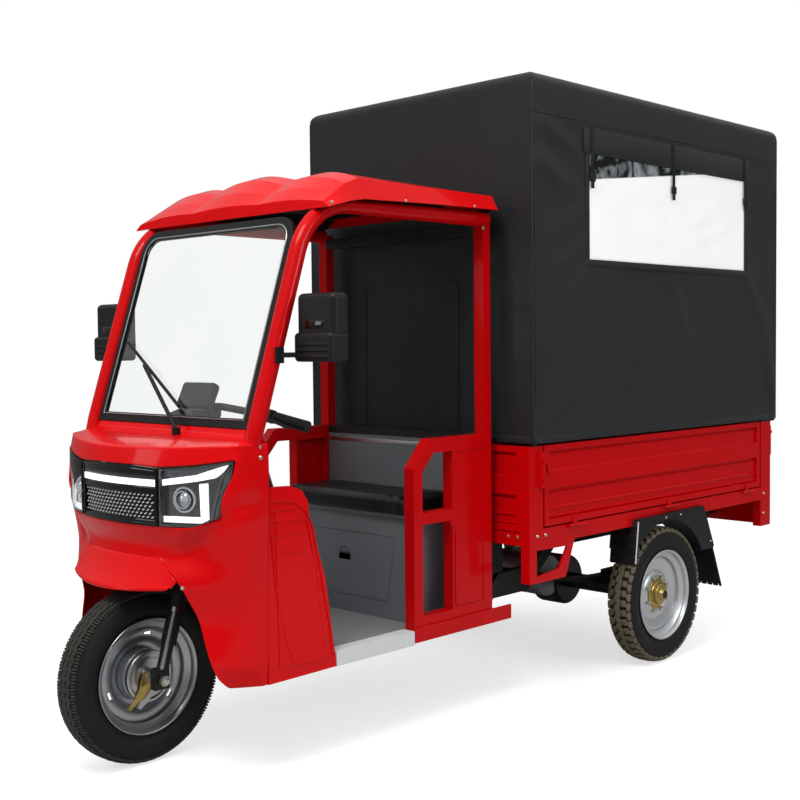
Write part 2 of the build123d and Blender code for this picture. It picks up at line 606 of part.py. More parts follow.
cushion = block((234, 500), (-300, 300), (SEAT_TOP + SEAT_GAP, 700))
save("seat_cushion", fillet(cushion.edges(), 18))
back_panel = block((BACK_X + BACK_TUBE - 12, BACK_X + BACK_TUBE - 2), (-SIDE_Y + TUBE, SIDE_Y - TUBE),
                   (640, 864))
save("seat_back_panel", back_panel)
save("battery_pack", block((240, 440), (-240, 240), (FLOOR_Z, 540)))
save("controller_box", block((-40, 160), (-262, 262), (387 + SEAT_GAP, 515)))
pedal = rod((881, -120, FLOOR_Z + 4), (905, -120, 372), 6)
pedal = pedal + Pos(903, -120, 376) * Rot(0, -60, 0) * Box(40, 60, 8)
save("brake_pedal", pedal + block((862, 896), (-134, -106), (FLOOR_Z, FLOOR_Z + 8)))


# Cargo bed
def pressed_board(length, height, end, top_rim):
    """Board of pressed sheet, X along it, Y outwards, Z up from its foot."""
    sheet = 3.0
    face, low, deep = BOARD_T, BOARD_T - 8.0, BOARD_T - 13.0
    top = height - top_rim
    steps = [  # height up the board, depth of the outer face there
        (0, face), (20, face), (24, low), (28, face - 2), (32, low), (52, low), (56, face - 2),
        (60, low), (108, low), (110, deep), (117, deep), (120, face), (180, face), (184, low),
        (top - 8, low), (top - 6, deep), (top, deep), (top + 2, face), (height, face)]
    outer = [(y, z) for z, y in steps]
    inner = [(y - sheet, z) for z, y in reversed(steps[1:-1])]
    fold = [(0, height), (0, height - 14), (sheet, height - 14), (sheet, height - sheet),
            (face - sheet, height - sheet)]
    foot_fold = [(face - sheet, sheet), (sheet, sheet), (sheet, 14), (0, 14), (0, 0)]
    outline = outer + fold + inner + foot_fold
    skin = plate_yz(outline, (end, length - end))
    ends = [block((x, x + end), (0, face), (0, height)) for x in (0, length - end)]
    return merged([skin] + ends)


side_len = SIDE_BOARD_X[1] - SIDE_BOARD_X[0]
board_h = BOARD_Z[1] - BOARD_Z[0]
HINGE_Y = BED_HALF + HINGE_OUT
HINGE_Z = BOARD_Z[0] - HINGE_DROP
HINGE_X = (-105.0, -697.0, -1283.0)
HINGE_L = 90.0
side_board = Pos(SIDE_BOARD_X[0], BED_HALF - BOARD_T, BOARD_Z[0]) * pressed_board(
    side_len, board_h, 26.0, 22.0)
pin_hole = RUNNING_GAP + HINGE_R - 2
for x in HINGE_X:
    knuckle = rod((x - 14, HINGE_Y, HINGE_Z), (x + 14, HINGE_Y, HINGE_Z), HINGE_R)
    strap = block((x - 14, x + 14), (BED_HALF + SEAT_GAP, HINGE_Y), (HINGE_Z, HINGE_Z + 4))
    strap = strap + block((x - 14, x + 14), (BED_HALF + SEAT_GAP, BED_HALF + 4),
                          (HINGE_Z, BOARD_Z[0] + 14))
    strap = strap + block((x - 14, x + 14), (BED_HALF - 2, BED_HALF + 4),
                          (BOARD_Z[0] + 1, BOARD_Z[0] + 14))
    side_board = side_board + knuckle + strap
    side_board = side_board - rod((x - 20, HINGE_Y, HINGE_Z), (x + 20, HINGE_Y, HINGE_Z), pin_hole)
keeper = block((38, 56), (BED_HALF - 3, BED_HALF + 10), (760, 784))
side_board = side_board + keeper
save("side_board_left", side_board)
save("side_board_right", mirror(side_board, Plane.XZ))


def hinge_leaves(x):
    """Fixed knuckles and the pin of one drop-side hinge."""
    pin = rod((x - HINGE_L / 2, HINGE_Y, HINGE_Z), (x + HINGE_L / 2, HINGE_Y, HINGE_Z), HINGE_R - 2)
    parts = [pin]
    for low, high in ((-HINGE_L / 2, -14.5), (14.5, HINGE_L / 2)):
        parts.append(rod((x + low, HINGE_Y, HINGE_Z), (x + high, HINGE_Y, HINGE_Z), HINGE_R))
        parts.append(block((x + low, x + high), (BED_HALF - 2, HINGE_Y), (HINGE_Z - HINGE_R, HINGE_Z)))
    return merged(parts)


rail = block((SIDE_BOARD_X[0] - 8, POST_FRONT_X[1]), (BED_HALF - RAIL_W, BED_HALF), RAIL_Z)
front_post = block(POST_FRONT_X, (BED_HALF - POST_W, BED_HALF), (RAIL_Z[0], 848))
rear_post = block(POST_REAR_X, (BED_HALF - POST_W, BED_HALF), (415, 848))
BRACKET = [(140, 529), (-107, 529), (-55, 402), (140, 402)]
BRACKET_HOLE = [(102, 508), (-64, 505), (-17, 434), (102, 423)]
bracket = plate_xz(BRACKET, (BED_HALF - 8, BED_HALF)) - plate_xz(
    BRACKET_HOLE, (BED_HALF - 12, BED_HALF + 4))
bracket = bracket + block((128, 140), (BED_HALF - POST_W, BED_HALF), (402, 530))
hinges = [hinge_leaves(x) for x in HINGE_X]
bed_side = merged([rail, front_post, rear_post, bracket] + hinges)
cross_beams = [block((x - 20, x + 20), (-BED_HALF + RAIL_W - 2, BED_HALF - RAIL_W + 2),
                     (520, 560)) for x in (100, -360, -720, -1080, -1440)]
rear_panel = block((BED_X[0], BED_X[0] + 8), (-BED_HALF + POST_W - 2, BED_HALF - POST_W + 2),
                   (415, 572))
front_rail = block((128, 140), (-BED_HALF + POST_W - 2, BED_HALF - POST_W + 2), (524, 566))
TAIL_HALF = BED_HALF - POST_W - 6
TAIL_HINGE_X = BED_X[0] - HINGE_OUT
tail_pins = []
for y in (-360.0, 0.0, 360.0):
    tail_pins.append(rod((TAIL_HINGE_X, y - 45, HINGE_Z), (TAIL_HINGE_X, y + 45, HINGE_Z),
                         HINGE_R - 2))
    for low, high in ((-45, -14.5), (14.5, 45)):
        tail_pins.append(rod((TAIL_HINGE_X, y + low, HINGE_Z), (TAIL_HINGE_X, y + high, HINGE_Z),
                             HINGE_R))
        tail_pins.append(block((TAIL_HINGE_X, BED_X[0] + 2), (y + low, y + high),
                               (HINGE_Z - HINGE_R, HINGE_Z - 1)))
bed_frame = merged(both_sides(bed_side) + cross_beams + [rear_panel, front_rail] + tail_pins)
save("bed_frame", bed_frame)
save("bed_floor", block((BED_X[0] + 10, 126), (-BED_HALF + POST_W + 1, BED_HALF - POST_W - 1),
                        BED_FLOOR_Z))

tail_board = pressed_board(2 * TAIL_HALF, board_h, 26.0, 22.0)
tail_board = Pos(BED_X[0] + BOARD_T, TAIL_HALF, BOARD_Z[0]) * Rot(0, 0, 90) * Pos(
    -2 * TAIL_HALF, 0, 0) * tail_board
for y in (-360.0, 0.0, 360.0):
    knuckle = rod((TAIL_HINGE_X, y - 14, HINGE_Z), (TAIL_HINGE_X, y + 14, HINGE_Z), HINGE_R)
    strap = block((TAIL_HINGE_X, BED_X[0] - SEAT_GAP), (y - 14, y + 14), (HINGE_Z, HINGE_Z + 4))
    strap = strap + block((BED_X[0] - 4, BED_X[0] - SEAT_GAP), (y - 14, y + 14),
                          (HINGE_Z, BOARD_Z[0] + 14))
    strap = strap + block((BED_X[0] - 4, BED_X[0] + 2), (y - 14, y + 14),
                          (BOARD_Z[0] + 1, BOARD_Z[0] + 14))
    tail_board = tail_board + knuckle + strap
    tail_board = tail_board - rod((TAIL_HINGE_X, y - 20, HINGE_Z), (TAIL_HINGE_X, y + 20, HINGE_Z),
                                  pin_hole)
save("tailgate", tail_board)

front_board = pressed_board(2 * (BED_HALF - POST_W), BOARD_Z[1] - RAIL_Z[1] + 8, 20.0, 22.0)
front_board = Pos(140 - BOARD_T, -BED_HALF + POST_W, RAIL_Z[1] - 8) * Rot(0, 0, -90) * Pos(
    -2 * (BED_HALF - POST_W), 0, 0) * front_board
save("front_board", front_board)

latch = block((70, 94), (BED_HALF, BED_HALF + 14), (712, 830))
latch = fillet(latch.edges().filter_by(Axis.Y), 6)
latch = latch + rod((82, BED_HALF, 800), (82, BED_HALF + 22, 800), 8)
latch = latch + rod((82, BED_HALF, 740), (82, BED_HALF + 20, 740), 9)
rear_latch = block((BED_X[0] - 14, BED_X[0]), (BED_HALF - 26, BED_HALF - 4), (706, 828))
rear_latch = rear_latch + rod((BED_X[0], BED_HALF - 15, 800), (BED_X[0] - 30, BED_HALF - 15, 800), 8)
save("latches", both_sides(latch) + both_sides(rear_latch))

lamp = block((BED_X[0] - 10, BED_X[0]), (330, 440), (452, 522))
save("tail_lamps", both_sides(lamp))

# Rear axle, motor and springs
diff_y = 40.0
TUBE_END_Y = REAR_WHEEL_Y - 86
STUB_END_Y = REAR_WHEEL_Y + 45
axle_tube = rod((REAR_AXLE_X, -TUBE_END_Y, WHEEL_R), (REAR_AXLE_X, TUBE_END_Y, WHEEL_R), AXLE_TUBE_R)
plates = both_sides(rod((REAR_AXLE_X, TUBE_END_Y - 8, WHEEL_R),
                        (REAR_AXLE_X, TUBE_END_Y - 2.5, WHEEL_R), REAR_DRUM_R - 2))
stub = rod((REAR_AXLE_X, -STUB_END_Y, WHEEL_R), (REAR_AXLE_X, STUB_END_Y, WHEEL_R), REAR_STUB_R)
diff = rod((REAR_AXLE_X, diff_y - 60, WHEEL_R), (REAR_AXLE_X, diff_y + 60, WHEEL_R), 96)
diff = fillet(diff.edges(), 14)
save("rear_axle", merged([axle_tube, stub, diff] + plates))
motor = rod((REAR_AXLE_X + 128, diff_y - 250, WHEEL_R + 34), (REAR_AXLE_X + 128, diff_y + 56,
                                                             WHEEL_R + 34), 78)
motor = motor - rod((REAR_AXLE_X, -260, WHEEL_R), (REAR_AXLE_X, 200, WHEEL_R), 96 + SEAT_GAP)
save("drive_motor", motor)

SPRING_Y = (282.0, 332.0)
EYE_Z = 352.0
EYE_HALF = 470.0


def leaf(half, drop, thick):
    """One curved leaf, half its length long, low in the middle."""
    low = WHEEL_R + AXLE_TUBE_R + drop
    rise = (EYE_Z - low) * (half / EYE_HALF) ** 2
    upper = ThreePointArc((-half, low + rise + thick), (0, low + thick), (half, low + rise + thick))
    lower = ThreePointArc((half, low + rise), (0, low), (-half, low + rise))
    face = make_face([upper, Line((half, low + rise + thick), (half, low + rise)), lower,
                      Line((-half, low + rise), (-half, low + rise + thick))])
    placed = Pos(REAR_AXLE_X, 0, 0) * (Plane.XZ.offset(-SPRING_Y[1]) * face)
    return extrude(placed, amount=SPRING_Y[1] - SPRING_Y[0], dir=(0, -1, 0))


leaves = [leaf(half, drop, 7.0) for half, drop in ((150, 0.3), (290, 7.0), (400, 14.0), (470, 21.0))]
eye_z = EYE_Z + 6
for x in (REAR_AXLE_X - EYE_HALF, REAR_AXLE_X + EYE_HALF):
    leaves.append(rod((x, SPRING_Y[0], eye_z), (x, SPRING_Y[1], eye_z), 16))
    leaves.append(rod((x, CH_Y[1] + SEAT_GAP, eye_z), (x, SPRING_Y[1], eye_z), 8))
hanger_y = (CH_Y[1] + SEAT_GAP, SPRING_Y[0] - 1)
hanger = [block((x - 22, x + 22), hanger_y, (340, top))
          for x, top in ((REAR_AXLE_X + EYE_HALF, 430), (REAR_AXLE_X - EYE_HALF, 519))]
pads = [block((REAR_AXLE_X - 44, REAR_AXLE_X + 44), (SPRING_Y[0] - 3, SPRING_Y[1] + 3),
              (WHEEL_R + AXLE_TUBE_R + 26, WHEEL_R + AXLE_TUBE_R + 40))]
spring = merged(leaves + hanger + pads)
save("leaf_springs", both_sides(spring))

# Rear fenders with their flaps
FENDER = [(-436, 386), (-458, 548), (-911, 553), (-986, 392)]
FENDER_Y = (BED_HALF - 92, BED_HALF + 23)
FLAP_Y = (FENDER_Y[0] + 10, FENDER_Y[1] - 5)
FLAP_FOOT = (-1056, 221)
ARCH_R = 279.0
past = (FENDER_Y[0] - 30, FENDER_Y[1] + 15)
fender = plate_xz(FENDER + [(-940, 330), (-470, 330)], FENDER_Y)
fender = fender - rod((REAR_AXLE_X, past[0], WHEEL_R), (REAR_AXLE_X, past[1], WHEEL_R), ARCH_R)
fender = fender - block((-1100, -300), past, (200, 384))
fender = fender - block((-1100, -300), (past[0], BED_HALF + SEAT_GAP), (RAIL_Z[0] - 4 - SEAT_GAP, 600))
flap = plate_xz([(-975, 392), (-983, 392), FLAP_FOOT, (FLAP_FOOT[0] + 6, FLAP_FOOT[1])], FLAP_Y)
for index in range(4):
    y = FLAP_Y[0] + 12.5 + index * 25
    notch = plate_yz([(y - 8, 200), (y, 240), (y + 8, 200)], (FLAP_FOOT[0] - 34, FLAP_FOOT[0] + 56))
    flap = flap - notch
save("rear_fenders", both_sides(merged([fender, flap])))

# Canopy, five panels over steel bows, with a clear window in each side
canopy_roof = block(TARP_X, (-TARP_HALF, TARP_HALF), (SEAM_Z, TARP_Z[1]))
top_edges = canopy_roof.faces().sort_by(Axis.Z)[-1].edges()
canopy_roof = fillet(top_edges, TARP_EDGE_R)
roof_hollow = block((TARP_X[0] + TARP_T, TARP_X[1] - TARP_T),
                    (-TARP_HALF + TARP_T, TARP_HALF - TARP_T), (SEAM_Z - 5, TARP_Z[1] - TARP_T))
roof_hollow = fillet(roof_hollow.faces().sort_by(Axis.Z)[-1].edges(), TARP_EDGE_R - TARP_T)
save("canopy_roof", canopy_roof - roof_hollow)
wall = block((TARP_X[0], TARP_X[1]), (TARP_HALF - TARP_T, TARP_HALF), (TARP_Z[0], SEAM_Z))
wall = wall - block(WINDOW_X, (TARP_HALF - 20, TARP_HALF + 20), WINDOW_Z)
save("canopy_sides", both_sides(wall))
inner_half = TARP_HALF - TARP_T
save("canopy_ends", [block((TARP_X[1] - TARP_T, TARP_X[1]), (-inner_half, inner_half),
                           (TARP_Z[0], SEAM_Z)),
                     block((TARP_X[0], TARP_X[0] + TARP_T), (-inner_half, inner_half),
                           (TARP_Z[0], SEAM_Z))])
pane = block(WINDOW_X, (TARP_HALF - 2, TARP_HALF - 1), WINDOW_Z)
save("canopy_windows", both_sides(pane))


def bow(x):
    """One ring of square tube across the bed, open at its feet."""
    half = TARP_HALF - TARP_T - SEAT_GAP
    top = TARP_Z[1] - TARP_EDGE_R
    corner = 40.0
    outer = [(-half, 848), (-half, top - corner), (-half + corner, top), (half - corner, top),
             (half, top - corner), (half, 848)]
    t = BOW_TUBE
    inner = [(half - t, 848), (half - t, top - corner - 0.4 * t), (half - corner - 0.4 * t, top - t),
             (-half + corner + 0.4 * t, top - t), (-half + t, top - corner - 0.4 * t),
             (-half + t, 848)]
    return plate_yz(outer + inner, (x, x + t))


BOW_X = (TARP_X[0] + TARP_T + SEAT_GAP, TARP_X[1] - TARP_T - SEAT_GAP - BOW_TUBE)
mid_half = TARP_HALF - TARP_T - SEAT_GAP
bows = [bow(x) for x in BOW_X]
eaves = [block((BOW_X[0], BOW_X[1] + BOW_TUBE), (mid_half - BOW_TUBE, mid_half), (1888, 1908)),
         block((BOW_X[0], BOW_X[1] + BOW_TUBE), (mid_half - BOW_TUBE, mid_half), (868, 888)),
         block((BOW_X[0], POST_REAR_X[1]), (mid_half - BOW_TUBE, mid_half), (848, 870))]
eaves_both = [piece for item in eaves for piece in both_sides(item)]
roof_bows = [plate_yz([(-mid_half, 1890), (-mid_half, 1976.7), (-mid_half + 70, 2046.7),
                       (mid_half - 70, 2046.7), (mid_half, 1976.7), (mid_half, 1890),
                       (mid_half - 20, 1890), (mid_half - 20, 1968.7), (mid_half - 78, 2026.7),
                       (-mid_half + 78, 2026.7), (-mid_half + 20, 1968.7), (-mid_half + 20, 1890)],
                      (x, x + BOW_TUBE)) for x in (40, -430, -980, -1460)]
ridge = block((-1460, 60), (-10, 10), (2027, 2046))
canopy_frame = merged(bows + eaves_both + roof_bows + [ridge])
save("canopy_frame", canopy_frame)
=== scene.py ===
# %% [markdown]
# # An electric cargo tricycle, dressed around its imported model
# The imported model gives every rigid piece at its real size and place. This file
# adds the finishes, the cloth, the tyres' treads and the moulded front, as a
# lesson in small steps. One Blender unit is one metre, +X is forward and +Y is
# the driver's left.

# %% Load the frame
import math

import bmesh
import bpy
from mathutils import Matrix, Vector, noise
from mathutils.bvhtree import BVHTree


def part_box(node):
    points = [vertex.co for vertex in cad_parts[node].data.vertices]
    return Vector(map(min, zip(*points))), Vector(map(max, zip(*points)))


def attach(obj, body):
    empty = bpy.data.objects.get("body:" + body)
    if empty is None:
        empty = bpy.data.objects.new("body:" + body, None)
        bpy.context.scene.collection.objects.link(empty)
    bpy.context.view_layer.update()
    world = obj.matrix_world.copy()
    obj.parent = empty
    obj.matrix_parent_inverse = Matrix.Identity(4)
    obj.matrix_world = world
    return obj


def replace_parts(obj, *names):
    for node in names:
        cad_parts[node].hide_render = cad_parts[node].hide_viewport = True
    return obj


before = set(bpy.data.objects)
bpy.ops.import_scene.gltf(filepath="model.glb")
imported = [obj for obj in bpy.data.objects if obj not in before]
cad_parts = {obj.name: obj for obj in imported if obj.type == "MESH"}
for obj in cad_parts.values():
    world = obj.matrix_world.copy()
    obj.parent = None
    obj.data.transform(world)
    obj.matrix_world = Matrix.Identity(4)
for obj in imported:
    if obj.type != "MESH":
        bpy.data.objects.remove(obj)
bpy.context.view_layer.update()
scene = bpy.context.scene

# %% [markdown]
# ## Small helpers
# Lengths in this file are written in millimetres, as on a drawing, and turned
# to metres in one place. Colours are the hex values that a paint chart gives,
# turned to linear light. A node is always added by the same small function.

# %% Units, colours and nodes
MM = 0.001


def mm(*values):
    """A point or size given in millimetres, as a vector in metres."""
    return Vector(values) * MM


def linear(hex_text, alpha=1.0):
    """An sRGB hex colour as linear red, green, blue and alpha."""
    parts = [int(hex_text[i:i + 2], 16) / 255 for i in (1, 3, 5)]
    return [c / 12.92 if c <= 0.04045 else ((c + 0.055) / 1.055) ** 2.4 for c in parts] + [alpha]


WHITE = linear("#FFFFFF")


def placed(name, data):
    """A new object in the scene that shows this data."""
    made = bpy.data.objects.new(name, data)
    scene.collection.objects.link(made)
    return made


def bare_tree(owner):
    """The owner's node tree, switched on and emptied."""
    owner.use_nodes = True
    owner.node_tree.nodes.clear()
    return owner.node_tree


def node(tree, kind, inputs=None, **settings):
    """Add one node, set its settings, then fill or link its inputs."""
    made = tree.nodes.new("ShaderNode" + kind)
    for name, value in settings.items():
        setattr(made, name, value)
    for name, value in (inputs or {}).items():
        if isinstance(value, bpy.types.NodeSocket):
            tree.links.new(value, made.inputs[name])
        else:
            made.inputs[name].default_value = value
    return made


def worked(tree, operation, *values):
    """The result of one sum on sockets or numbers."""
    return node(tree, "Math", dict(enumerate(values)), operation=operation).outputs[0]


def ramp(tree, value, low, high, first=0.0, last=1.0, kind="SMOOTHSTEP"):
    """A value's way from low to high, turned into a way from first to last."""
    return node(tree, "MapRange", {"Value": value, "From Min": low, "From Max": high,
                                   "To Min": first, "To Max": last},
                interpolation_type=kind).outputs["Result"]


def cloud(tree, where, size_mm, detail, **more):
    """Smooth noise, 0 to 1, whose features are this many millimetres wide."""
    return node(tree, "TexNoise", {"Vector": where, "Scale": 1.0 / (size_mm * MM),
                                   "Detail": detail, **more}).outputs["Fac"]


def mixed(tree, share, low_color, high_color):
    """A colour between two others; each may be a value or a socket."""
    return node(tree, "Mix", {0: share, 6: low_color, 7: high_color}, data_type="RGBA").outputs[2]


def start_material(name, **shader_values):
    """A material with a Principled shader; values are set on its own sockets."""
    made = bpy.data.materials.new(name)
    tree = bare_tree(made)
    values = {key.replace("_", " "): value for key, value in shader_values.items()}
    shader = node(tree, "BsdfPrincipled", values)
    node(tree, "OutputMaterial", {"Surface": shader.outputs[0]})
    where = node(tree, "TexCoord").outputs["Object"]
    return made, tree, shader, where


# %% [markdown]
# ## Camera
# The photograph was solved from the wheels' circles and the bed's straight
# edges: the eye stands low, in front and to the driver's left. A long lens at
# that distance gives the mild perspective. The roll is a little over half a
# degree, so the camera's axes are turned about its line of sight.

# %% The camera at the photograph's place
EYE = Vector((3.2004, 2.9137, 1.1807))
LOOK = Vector((-0.71737, -0.69519, -0.04573)).normalized()
ROLL = math.radians(-0.583)
IMAGE = 800
FOCAL_PIXELS = 1208.27
SENSOR_MM = 36.0

camera_data = bpy.data.cameras.new("photo_camera")
camera_data.sensor_width = SENSOR_MM
camera_data.lens = FOCAL_PIXELS / IMAGE * SENSOR_MM
camera = placed("photo_camera", camera_data)
level_right = LOOK.cross(Vector((0, 0, 1))).normalized()
level_up = level_right.cross(LOOK)
right = level_right * math.cos(ROLL) + level_up * math.sin(ROLL)
up = level_up * math.cos(ROLL) - level_right * math.sin(ROLL)
turn = Matrix((right, up, -LOOK)).transposed()
camera.matrix_world = Matrix.Translation(EYE) @ turn.to_4x4()
scene.camera = camera
scene.view_settings.view_transform = "Standard"
print("camera lens:", round(camera_data.lens, 1), "mm")

# %% [markdown]
# ## Floor, sky and lamps
# The photograph is a cut-out on white. A large pale disc catches a soft shadow
# and fades out before its rim, so no edge shows against the white sky. The sky
# lights the object softly, and area lamps give the paint its long highlights.

# %% The floor that fades into white
FLOOR_RADIUS = 9.0
FLOOR_LIFT = 0.66  # the floor's own light, so that it is white where no shadow falls
FADE = (1.8, 6.0)  # where the floor starts to fade and where it is gone, in metres
floor_mesh = bpy.data.meshes.new("floor")
bm = bmesh.new()
bmesh.ops.create_circle(bm, cap_ends=True, radius=FLOOR_RADIUS, segments=96)
bmesh.ops.translate(bm, verts=bm.verts, vec=(0, 0, -0.0005))
bm.to_mesh(floor_mesh)
bm.free()
placed("floor", floor_mesh)

floor_mat = bpy.data.materials.new("matt white studio floor")
tree = bare_tree(floor_mat)
where = node(tree, "TexCoord").outputs["Object"]
away = node(tree, "VectorMath", {0: where}, operation="LENGTH").outputs["Value"]
matt = node(tree, "BsdfDiffuse", {"Color": linear("#C6C6C6")}).outputs[0]
camera_ray = node(tree, "LightPath").outputs["Is Camera Ray"]
lifted = worked(tree, "MULTIPLY", camera_ray, FLOOR_LIFT)
glow = node(tree, "Emission", {"Color": WHITE, "Strength": lifted}).outputs[0]
matt = node(tree, "AddShader", {0: matt, 1: glow}).outputs[0]
clear = node(tree, "BsdfTransparent").outputs[0]
faded = node(tree, "MixShader", {0: ramp(tree, away, *FADE), 1: matt, 2: clear}).outputs[0]
node(tree, "OutputMaterial", {"Surface": faded})
floor_mesh.materials.append(floor_mat)

# %% The sky and the lamps
SKY_HIGH = 0.8
SKY_LOW = 0.16
world = bpy.data.worlds.new("white studio")
scene.world = world
tree = bare_tree(world)
path = node(tree, "LightPath").outputs
seen = worked(tree, "MAXIMUM", path["Is Camera Ray"], path["Is Transmission Ray"])
heading = node(tree, "TexCoord").outputs["Generated"]
steep = node(tree, "SeparateXYZ", {"Vector": heading}).outputs["Z"]
dome = ramp(tree, steep, -0.05, 0.85, SKY_LOW, SKY_HIGH)
strength = ramp(tree, seen, 0.0, 1.0, dome, 1.0, kind="LINEAR")
sky = node(tree, "Background", {"Color": WHITE, "Strength": strength})
node(tree, "OutputWorld", {"Surface": sky.outputs[0]})

LAMPS = [  # name, place, aim, width and height in metres, watts, colour
    ("key", (3.2, 1.2, 4.6), (0.2, 0.0, 0.8), 2.0, 1.6, 150, "#FFF9F0"),
    ("side", (-0.6, 5.2, 2.6), (-0.3, 0.0, 0.9), 2.4, 1.2, 66, "#F6FAFF"),
    ("front_fill", (5.0, -2.6, 1.8), (0.9, 0.0, 0.8), 1.2, 1.4, 14, "#FFFFFF"),
    ("back", (-4.5, -2.5, 3.2), (-0.6, 0.0, 1.0), 2.6, 1.6, 40, "#FFFFFF")]
for name, place, aim, width, height, watts, hue in LAMPS:
    data = bpy.data.lights.new(name, "AREA")
    data.shape = "RECTANGLE"
    data.size = width
    data.size_y = height
    data.energy = watts
    data.color = linear(hue)[:3]
    lamp = placed(name, data)
    lamp.location = place
    lamp.rotation_euler = (Vector(aim) - Vector(place)).to_track_quat("-Z", "Y").to_euler()
print("lamps:", len(LAMPS))

# %% [markdown]
# ## Finishes
# Each finish starts from what the real surface is made of and how it was made.
# Painted steel has a faint orange peel from the spray gun, moulded ABS is
# smoother and glossier, and coated tarpaulin shows the weave of its base cloth.
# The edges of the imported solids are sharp, so painted metal gets a small
# rounded edge from a Bevel node, as pressed and welded steel has.

# %% Painted and plated metal
TONE_PATCH = 260  # the width of a patch of colour, in mm
GLOSS_PATCH = 160


def tint(tree, shader, where, size_mm, low, high, sockets=("Base Color",)):
    """A colour that drifts between two near tones over patches of this size."""
    tone = mixed(tree, cloud(tree, where, size_mm, 3.0), linear(low), linear(high))
    for socket in sockets:
        tree.links.new(tone, shader.inputs[socket])


def gloss(tree, shader, where, size_mm, low, high):
    """A roughness that drifts between two values over patches of this size."""
    drift = ramp(tree, cloud(tree, where, size_mm, 4.0), 0.3, 0.7, low, high, kind="LINEAR")
    tree.links.new(drift, shader.inputs["Roughness"])


def grain(tree, height, depth_mm, normal=None, strength=1.0):
    """A bump of this depth on top of another normal."""
    inputs = {"Height": height, "Distance": depth_mm * MM, "Strength": strength}
    if normal is not None:
        inputs["Normal"] = normal
    return node(tree, "Bump", inputs).outputs[0]


def painted(name, low, high, rough, peel_mm=2.2, peel_depth=0.012, coat=0.0, round_mm=1.6,
            metal=0.0, shine=0.3):
    """A sprayed, plated or moulded surface: two near tones, fine grain, rounded edges."""
    made, tree, shader, where = start_material(
        name, Metallic=metal, Specular_IOR_Level=shine, Coat_Weight=coat, Coat_IOR=1.38,
        Coat_Roughness=0.06)
    tint(tree, shader, where, TONE_PATCH, low, high)
    gloss(tree, shader, where, GLOSS_PATCH, *rough)
    soft_edge = None
    if round_mm:
        soft_edge = node(tree, "Bevel", {"Radius": round_mm * MM}, samples=4).outputs[0]
    peel = grain(tree, cloud(tree, where, peel_mm, 2.0), peel_depth, soft_edge)
    tree.links.new(peel, shader.inputs["Normal"])
    return made


red_paint = painted("red enamel on pressed steel", "#BE0207", "#CC0309", (0.3, 0.34), coat=0.28,
                    shine=0.06)
red_abs = painted("glossy red moulded ABS", "#D00208", "#DC030A", (0.24, 0.28), peel_mm=4.0,
                  peel_depth=0.01, coat=0.36, round_mm=2.5, shine=0.06)
frame_black = painted("black powder coat on steel", "#131415", "#1B1C1E", (0.38, 0.5))
sill_white = painted("silver-white enamel on the sill", "#D2D5D8", "#E0E2E4", (0.3, 0.42))
wheel_silver = painted("silver wheel paint", "#9FA3A8", "#B2B6BB", (0.3, 0.36), metal=0.85,
                       peel_mm=1.5, round_mm=1.2)
rear_silver = painted("bright silver wheel paint", "#C3C6C9", "#D3D5D7", (0.3, 0.38), metal=0.8,
                      peel_mm=1.5, round_mm=1.2)
cast_metal = painted("sand-cast aluminium", "#85878A", "#9A9CA0", (0.42, 0.58), metal=0.9,
                     peel_mm=1.2, peel_depth=0.08, round_mm=1.5)
bright_metal = painted("turned aluminium", "#A8AAAC", "#BDBFC1", (0.3, 0.36), metal=1.0,
                       peel_mm=0.9, peel_depth=0.004, round_mm=0.8)
zinc = painted("bright zinc plate", "#B9B6A6", "#D2D0C4", (0.22, 0.36), metal=1.0, peel_mm=0.8,
               peel_depth=0.004, round_mm=0.5)
yellow_zinc = painted("yellow zinc plate", "#A98F4E", "#C2AC6E", (0.26, 0.4), metal=1.0,
                      peel_mm=0.8, peel_depth=0.006, round_mm=0.8)
reflector = painted("vacuum-plated reflector", "#8F9499", "#B9BEC3", (0.08, 0.16), metal=1.0,
                    peel_mm=3.0, peel_depth=0.01, round_mm=0.4)
print("painted and plated finishes ready")

# %% Moulded plastics, rubber and vinyl
black_abs = painted("textured black ABS", "#0D0E10", "#131517", (0.42, 0.55), peel_mm=0.9,
                    peel_depth=0.035, round_mm=1.8)
gloss_black = painted("gloss black ABS", "#060708", "#0B0C0E", (0.06, 0.1), peel_mm=6.0,
                      peel_depth=0.004, coat=1.0, round_mm=1.0)
bezel_grey = painted("satin grey lamp bezel", "#3B4047", "#4A5058", (0.25, 0.35), coat=0.5,
                     round_mm=1.0)
stud_silver = painted("silver-painted ABS studs", "#C6C9CC", "#D9DCDF", (0.3, 0.4), round_mm=0.4)
red_lens = painted("red acrylic lens", "#5A0508", "#7C080C", (0.08, 0.14), peel_mm=5.0,
                   peel_depth=0.004, coat=1.0)
grey_pp = painted("grey polypropylene moulding", "#6A6F75", "#767B81", (0.42, 0.55), peel_mm=1.0,
                  peel_depth=0.03, round_mm=2.5)
mat_grey = painted("grey ribbed floor mat", "#7D8084", "#8C8F93", (0.6, 0.75), peel_mm=2.0,
                   peel_depth=0.06, round_mm=1.0)
rubber = painted("moulded black rubber", "#0D0E0F", "#151617", (0.5, 0.66), peel_mm=1.4,
                 peel_depth=0.03, round_mm=1.2)
tyre_rubber = painted("tyre rubber", "#0C0D0D", "#141514", (0.55, 0.72), peel_mm=1.6,
                      peel_depth=0.05, round_mm=0.6)
worn_tread = painted("worn tyre tread", "#292A28", "#373835", (0.66, 0.8), peel_mm=1.8,
                     peel_depth=0.06, round_mm=0.6)
dusty_tread = painted("dusty tyre tread", "#5C5648", "#726B5A", (0.72, 0.86), peel_mm=1.8,
                      peel_depth=0.06, round_mm=0.6)
vinyl = painted("black seat vinyl", "#0B0D10", "#111418", (0.36, 0.46), peel_mm=1.6,
                peel_depth=0.06, round_mm=0)

